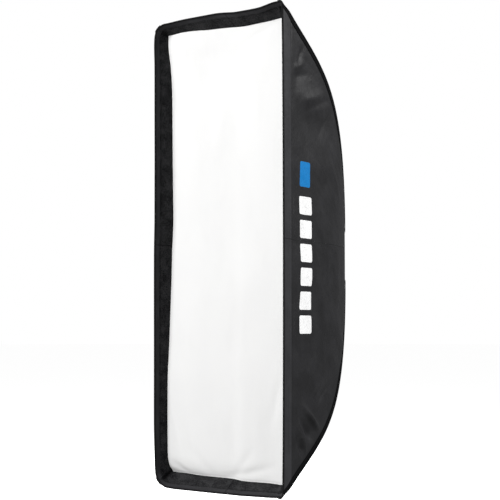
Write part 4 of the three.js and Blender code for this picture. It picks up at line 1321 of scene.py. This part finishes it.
class SOFTBOX_OT_rods(bpy.types.Operator):
    """Finish the rods and sew the four corner pockets that hold their tips"""

    bl_idname = "softbox.rods"
    bl_label = "Rods and pockets"

    def execute(self, context):
        """A pocket is a profile turned about the rod's line: out over the closed end,
        along the outside, and back inside. It is flattened towards its sewn end."""
        kinds = {"spring_steel": "rod", "aluminium": "rod_ferrule", "rubber": "rod_tip"}
        for slot, kind in kinds.items():
            nodes = [f"{kind}_{where_z}_{where_x}" for where_z, _, where_x, _ in CORNERS]
            refinish(nodes, slot)
        side, end, _ = SEAM.normals(np.array(0.0))
        inwards = -ROD_TO_WALL * (side + end)
        guides = np.array([
            SEAM_GUIDES[0] + inwards, SEAM_GUIDES[1] + inwards,
            SOCKET_MOUTH + SEAM_GUIDES[2] - SEAM_GUIDES[3], SOCKET_MOUTH,
        ])
        rod = Seam(guides)
        t = rod.parameter(ROD_START_DEPTH)
        tip, back = rod.at(t), rod.table(t, rod.along)
        start = tip - back * 0.0036
        radius, wall, long = POCKET_RADIUS, 0.0011, 0.030
        run = np.array([-wall, -wall, -wall * 0.7, 0, 0.004, 0.01, 0.018, 0.025, long,
                        long + 0.0003, long, 0.02, 0.01, 0.001, 0.0, 0.0])
        wide = np.array([0.0, 0.6, 0.9, 1, 1, 1, 1, 1, 1, 0.87, 0.75, 0.74, 0.74, 0.72, 0.5,
                         0.0])
        turn = np.linspace(0, 2 * np.pi, 33)[:-1]
        first = np.cross(back, (0, 0, 1.0))
        first /= np.linalg.norm(first)
        second = np.cross(back, first)
        tape = finish("loop pile")
        for where_z, sz, where_x, sx in CORNERS:
            flatten = 1 - 0.14 * (1 - smooth(run, 0.0, 0.012))
            ring = (
                start + run[1:-1, None, None] * back
                + radius * wide[1:-1, None, None] * (
                    np.cos(turn)[None, :, None] * first
                    + flatten[1:-1, None, None] * np.sin(turn)[None, :, None] * second
                )
            ) * (sx, 1, sz)
            poles = np.array([start + run[0] * back, start + run[-1] * back]) * (sx, 1, sz)
            piece = pocket_mesh(f"tip_pocket_{where_z}_{where_x}", ring, poles, run[1:-1], turn)
            dress(piece, "box", "loop_tape", tape, f"corner_pocket_{where_z}_{where_x}")
        return {"FINISHED"}


def pocket_mesh(name, ring, poles, run, turn):
    """A turned shape closed at both ends: rings of quads, with a fan at each pole. The
    fan's fourth corner repeats none: two neighbouring triangles are joined as one."""
    rows, columns = ring.shape[:2]
    r, c = grid_cells(rows, columns, False, True)
    body = r * columns + c % columns
    even = np.arange(0, columns, 2)
    first = np.stack([np.full_like(even, rows * columns), (even + 2) % columns,
                      (even + 1) % columns, even], axis=1)
    base = (rows - 1) * columns
    last = np.stack([np.full_like(even, rows * columns + 1), base + even,
                     base + (even + 1) % columns, base + (even + 2) % columns], axis=1)
    points = np.concatenate([ring.reshape(-1, 3), poles])
    u = np.concatenate([np.repeat(run, columns), [run[0], run[-1]]])
    v = np.concatenate([np.tile(turn * POCKET_RADIUS, rows), [0, 0]])
    quads = np.concatenate([body, first, last])
    return new_piece(name, points, quads, np.stack([u, v], axis=-1)[quads])


class SOFTBOX_OT_flaps(bpy.types.Operator):
    """Cut the four rear flaps that wrap round the ring"""

    bl_idname = "softbox.flaps"
    bl_label = "Rear flaps"

    def execute(self, context):
        """A flap is a flat cut, narrower at its free edge, leaning in from its hinge.
        The left one has a slot for the lock knob. Its hem stands slightly proud."""
        plain = finish("coated nylon")
        lean, long, slot, start = FLAP_LEAN, FLAP_LONG, FLAP_SLOT, FLAP_SLOT_START
        for side, degrees in (("top", 0), ("right", 90), ("bottom", 180), ("left", 270)):
            share = np.concatenate([np.linspace(-1, 0, 34), np.linspace(0, 1, 34)[1:]])
            w = np.concatenate([np.linspace(0, start, 4), np.linspace(start, long, 22)[1:]])
            half = FLAP_HINGE + (FLAP_FREE - FLAP_HINGE) * w / long
            slit = slot / FLAP_HINGE
            outside = np.clip((np.abs(share) - slit) / (1 - slit), 0, 1)
            u = np.sign(share)[:, None] * (
                np.minimum(np.abs(share), slit)[:, None] * FLAP_HINGE
                + outside[:, None] * (half - slot)
            )
            if side == "left":
                near = np.argmin(np.abs(np.abs(share) - slit))
                edge = abs(share[near])
                snapped = np.abs(np.abs(share) - edge) < 1e-9
                u = np.where(snapped[:, None], np.sign(share)[:, None] * slot, u)
            w = np.broadcast_to(w, u.shape)
            ripple = 0.0004 * cloth_noise(u, w, 0.014, SEEDS["flap"] + degrees)
            ripple = ripple * smooth(w, 0, 0.006)
            to_edge = np.minimum(long - w, half - np.abs(u))
            hem = 0.00035 * (1 - smooth(to_edge, 0.006, 0.007))

            def face(out):
                """Hinge line plus w along the lean, plus out along the flap's normal."""
                radial = REAR_HALF - w * np.sin(lean) + out * np.cos(lean)
                depth = HINGE_Y - RIM_Y + w * np.cos(lean) + out * np.sin(lean)
                turn = np.radians(degrees)
                return np.stack([
                    u * np.cos(turn) + radial * np.sin(turn), depth,
                    radial * np.cos(turn) - u * np.sin(turn),
                ], axis=-1)

            keep = None
            if side == "left":
                centre = np.abs(u[:-1, :-1] + u[1:, 1:]) / 2
                keep = ~((centre < slot) & ((w[:-1, :-1] + w[1:, 1:]) / 2 > start))
            piece = closed_sheet(f"flap_cloth_{side}", face(ripple + hem - 0.0002),
                                 face(ripple - hem - 0.0010), u, w, keep)
            dress(piece, f"flap_{side}", "shell_fabric", plain, f"rear_flap_{side}")
        return {"FINISHED"}


def refinish(nodes, slot):
    """Gives the frame's own nodes a finish in their material slots."""
    for name in nodes:
        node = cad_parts[name]
        for place in node.material_slots:
            place.material = finish(slot)


class SOFTBOX_OT_fittings(bpy.types.Operator):
    """Finish the speed ring, the insert, its clips and screws, and the lock"""

    bl_idname = "softbox.fittings"
    bl_label = "Ring and fittings"

    def execute(self, context):
        for slot, nodes in HARD_NODES.items():
            refinish(nodes, slot)
        return {"FINISHED"}


class SOFTBOX_OT_stage(bpy.types.Operator):
    """Set up the floor, the soft studio light and the camera"""

    bl_idname = "softbox.stage"
    bl_label = "Stage"

    def execute(self, context):
        """The floor is one flat square, far larger than the object. The backdrop is a
        ball round it all. Neither lights the object: the even sky and the lights do."""
        scene = context.scene
        reach, level = FLOOR_REACH, FLOOR_LEVEL
        paper = Shade("floor paper", (0.9, 0.9, 0.9), 0.9, Specular_IOR_Level=0.1,
                      Emission_Color=(1, 1, 1, 1), Emission_Strength=FLOOR_GLOW)
        grain = paper.noise(paper.place(), 30.0, 3.0)
        paper.set("Base Color", paper.mix(grain, (0.88, 0.88, 0.88, 1), (0.92, 0.92, 0.92, 1)))
        white = Shade("backdrop white", (0, 0, 0), 1.0, Specular_IOR_Level=0,
                      Emission_Color=(1, 1, 1, 1), Emission_Strength=1.0)
        around = np.linspace(0, 2 * np.pi, 49)[:-1, None]
        rise = np.linspace(-np.pi / 2, np.pi / 2, 25)[1:-1][None, :]
        ball = 0.9 * reach * np.stack(
            [np.cos(around) * np.cos(rise), np.sin(around) * np.cos(rise),
             np.sin(rise) + 0 * around], axis=-1,
        )
        r, c = grid_cells(48, 23, wrap_rows=True)
        faces = ((r % 48) * 23 + c)[:, ::-1].tolist()
        for name, points, cells, material in (
            ("floor", [(x, y, level) for x, y in
                       ((-reach, -reach), (reach, -reach), (reach, reach), (-reach, reach))],
             [(0, 1, 2, 3)], paper.material),
            ("backdrop", ball.reshape(-1, 3).tolist(), faces, white.material),
        ):
            mesh = bpy.data.meshes.new(name)
            mesh.from_pydata(points, [], cells)
            mesh.materials.append(material)
            sheet = bpy.data.objects.new(name, mesh)
            sheet.visible_diffuse = sheet.visible_glossy = False
            sheet.visible_shadow = False
            scene.collection.objects.link(sheet)
        world = bpy.data.worlds.new("studio")
        world.use_nodes = True
        sky = world.node_tree.nodes["Background"]
        sky.inputs["Color"].default_value = (1, 1, 1, 1)
        sky.inputs["Strength"].default_value = SKY_STRENGTH
        scene.world = world
        for name, place, size, power in LIGHTS:
            lamp = bpy.data.lights.new(name, "AREA")
            lamp.shape, lamp.size, lamp.energy = "SQUARE", size, power
            light = bpy.data.objects.new(name, lamp)
            light.location = place
            aim = Vector((0, -0.2, 0)) - Vector(place)
            light.rotation_euler = aim.to_track_quat("-Z", "Y").to_euler()
            scene.collection.objects.link(light)
        camera = bpy.data.objects.new("camera", bpy.data.cameras.new("camera"))
        pan, tilt = CAMERA_PAN, CAMERA_TILT
        aim = Vector((-np.sin(pan) * np.cos(tilt), np.cos(pan) * np.cos(tilt), np.sin(tilt)))
        camera.location = CAMERA_PLACE
        camera.rotation_mode = "QUATERNION"
        camera.rotation_quaternion = aim.to_track_quat("-Z", "Y")
        camera.data.sensor_width = CAMERA_SENSOR
        camera.data.lens = CAMERA_LENS
        scene.collection.objects.link(camera)
        scene.camera = camera
        scene.view_settings.view_transform = "Standard"
        return {"FINISHED"}


BUILDERS = (
    SOFTBOX_OT_stage,
    SOFTBOX_OT_panels,
    SOFTBOX_OT_lining,
    SOFTBOX_OT_bindings,
    SOFTBOX_OT_hem,
    SOFTBOX_OT_lip,
    SOFTBOX_OT_diffuser,
    SOFTBOX_OT_baffle,
    SOFTBOX_OT_rods,
    SOFTBOX_OT_flaps,
    SOFTBOX_OT_fittings,
)


class SOFTBOX_PT_sidebar(bpy.types.Panel):
    """The softbox's settings and the buttons that build its pieces"""

    bl_idname = "SOFTBOX_PT_sidebar"
    bl_label = "Strip softbox"
    bl_space_type = "VIEW_3D"
    bl_region_type = "UI"
    bl_category = "Softbox"

    def draw(self, context):
        settings = context.scene.softbox
        for name in SoftboxSettings.__annotations__:
            self.layout.prop(settings, name)
        for builder in BUILDERS:
            self.layout.operator(builder.bl_idname)


CLASSES = (SoftboxSettings, *BUILDERS, SOFTBOX_PT_sidebar)


def register():
    for each in CLASSES:
        bpy.utils.register_class(each)
    bpy.types.Scene.softbox = PointerProperty(type=SoftboxSettings)


def unregister():
    del bpy.types.Scene.softbox
    for each in reversed(CLASSES):
        bpy.utils.unregister_class(each)


def main():
    """Registers the classes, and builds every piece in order."""
    register()
    for builder in BUILDERS:
        getattr(bpy.ops.softbox, builder.bl_idname.split(".")[1])()


if __name__ == "__main__":
    main()
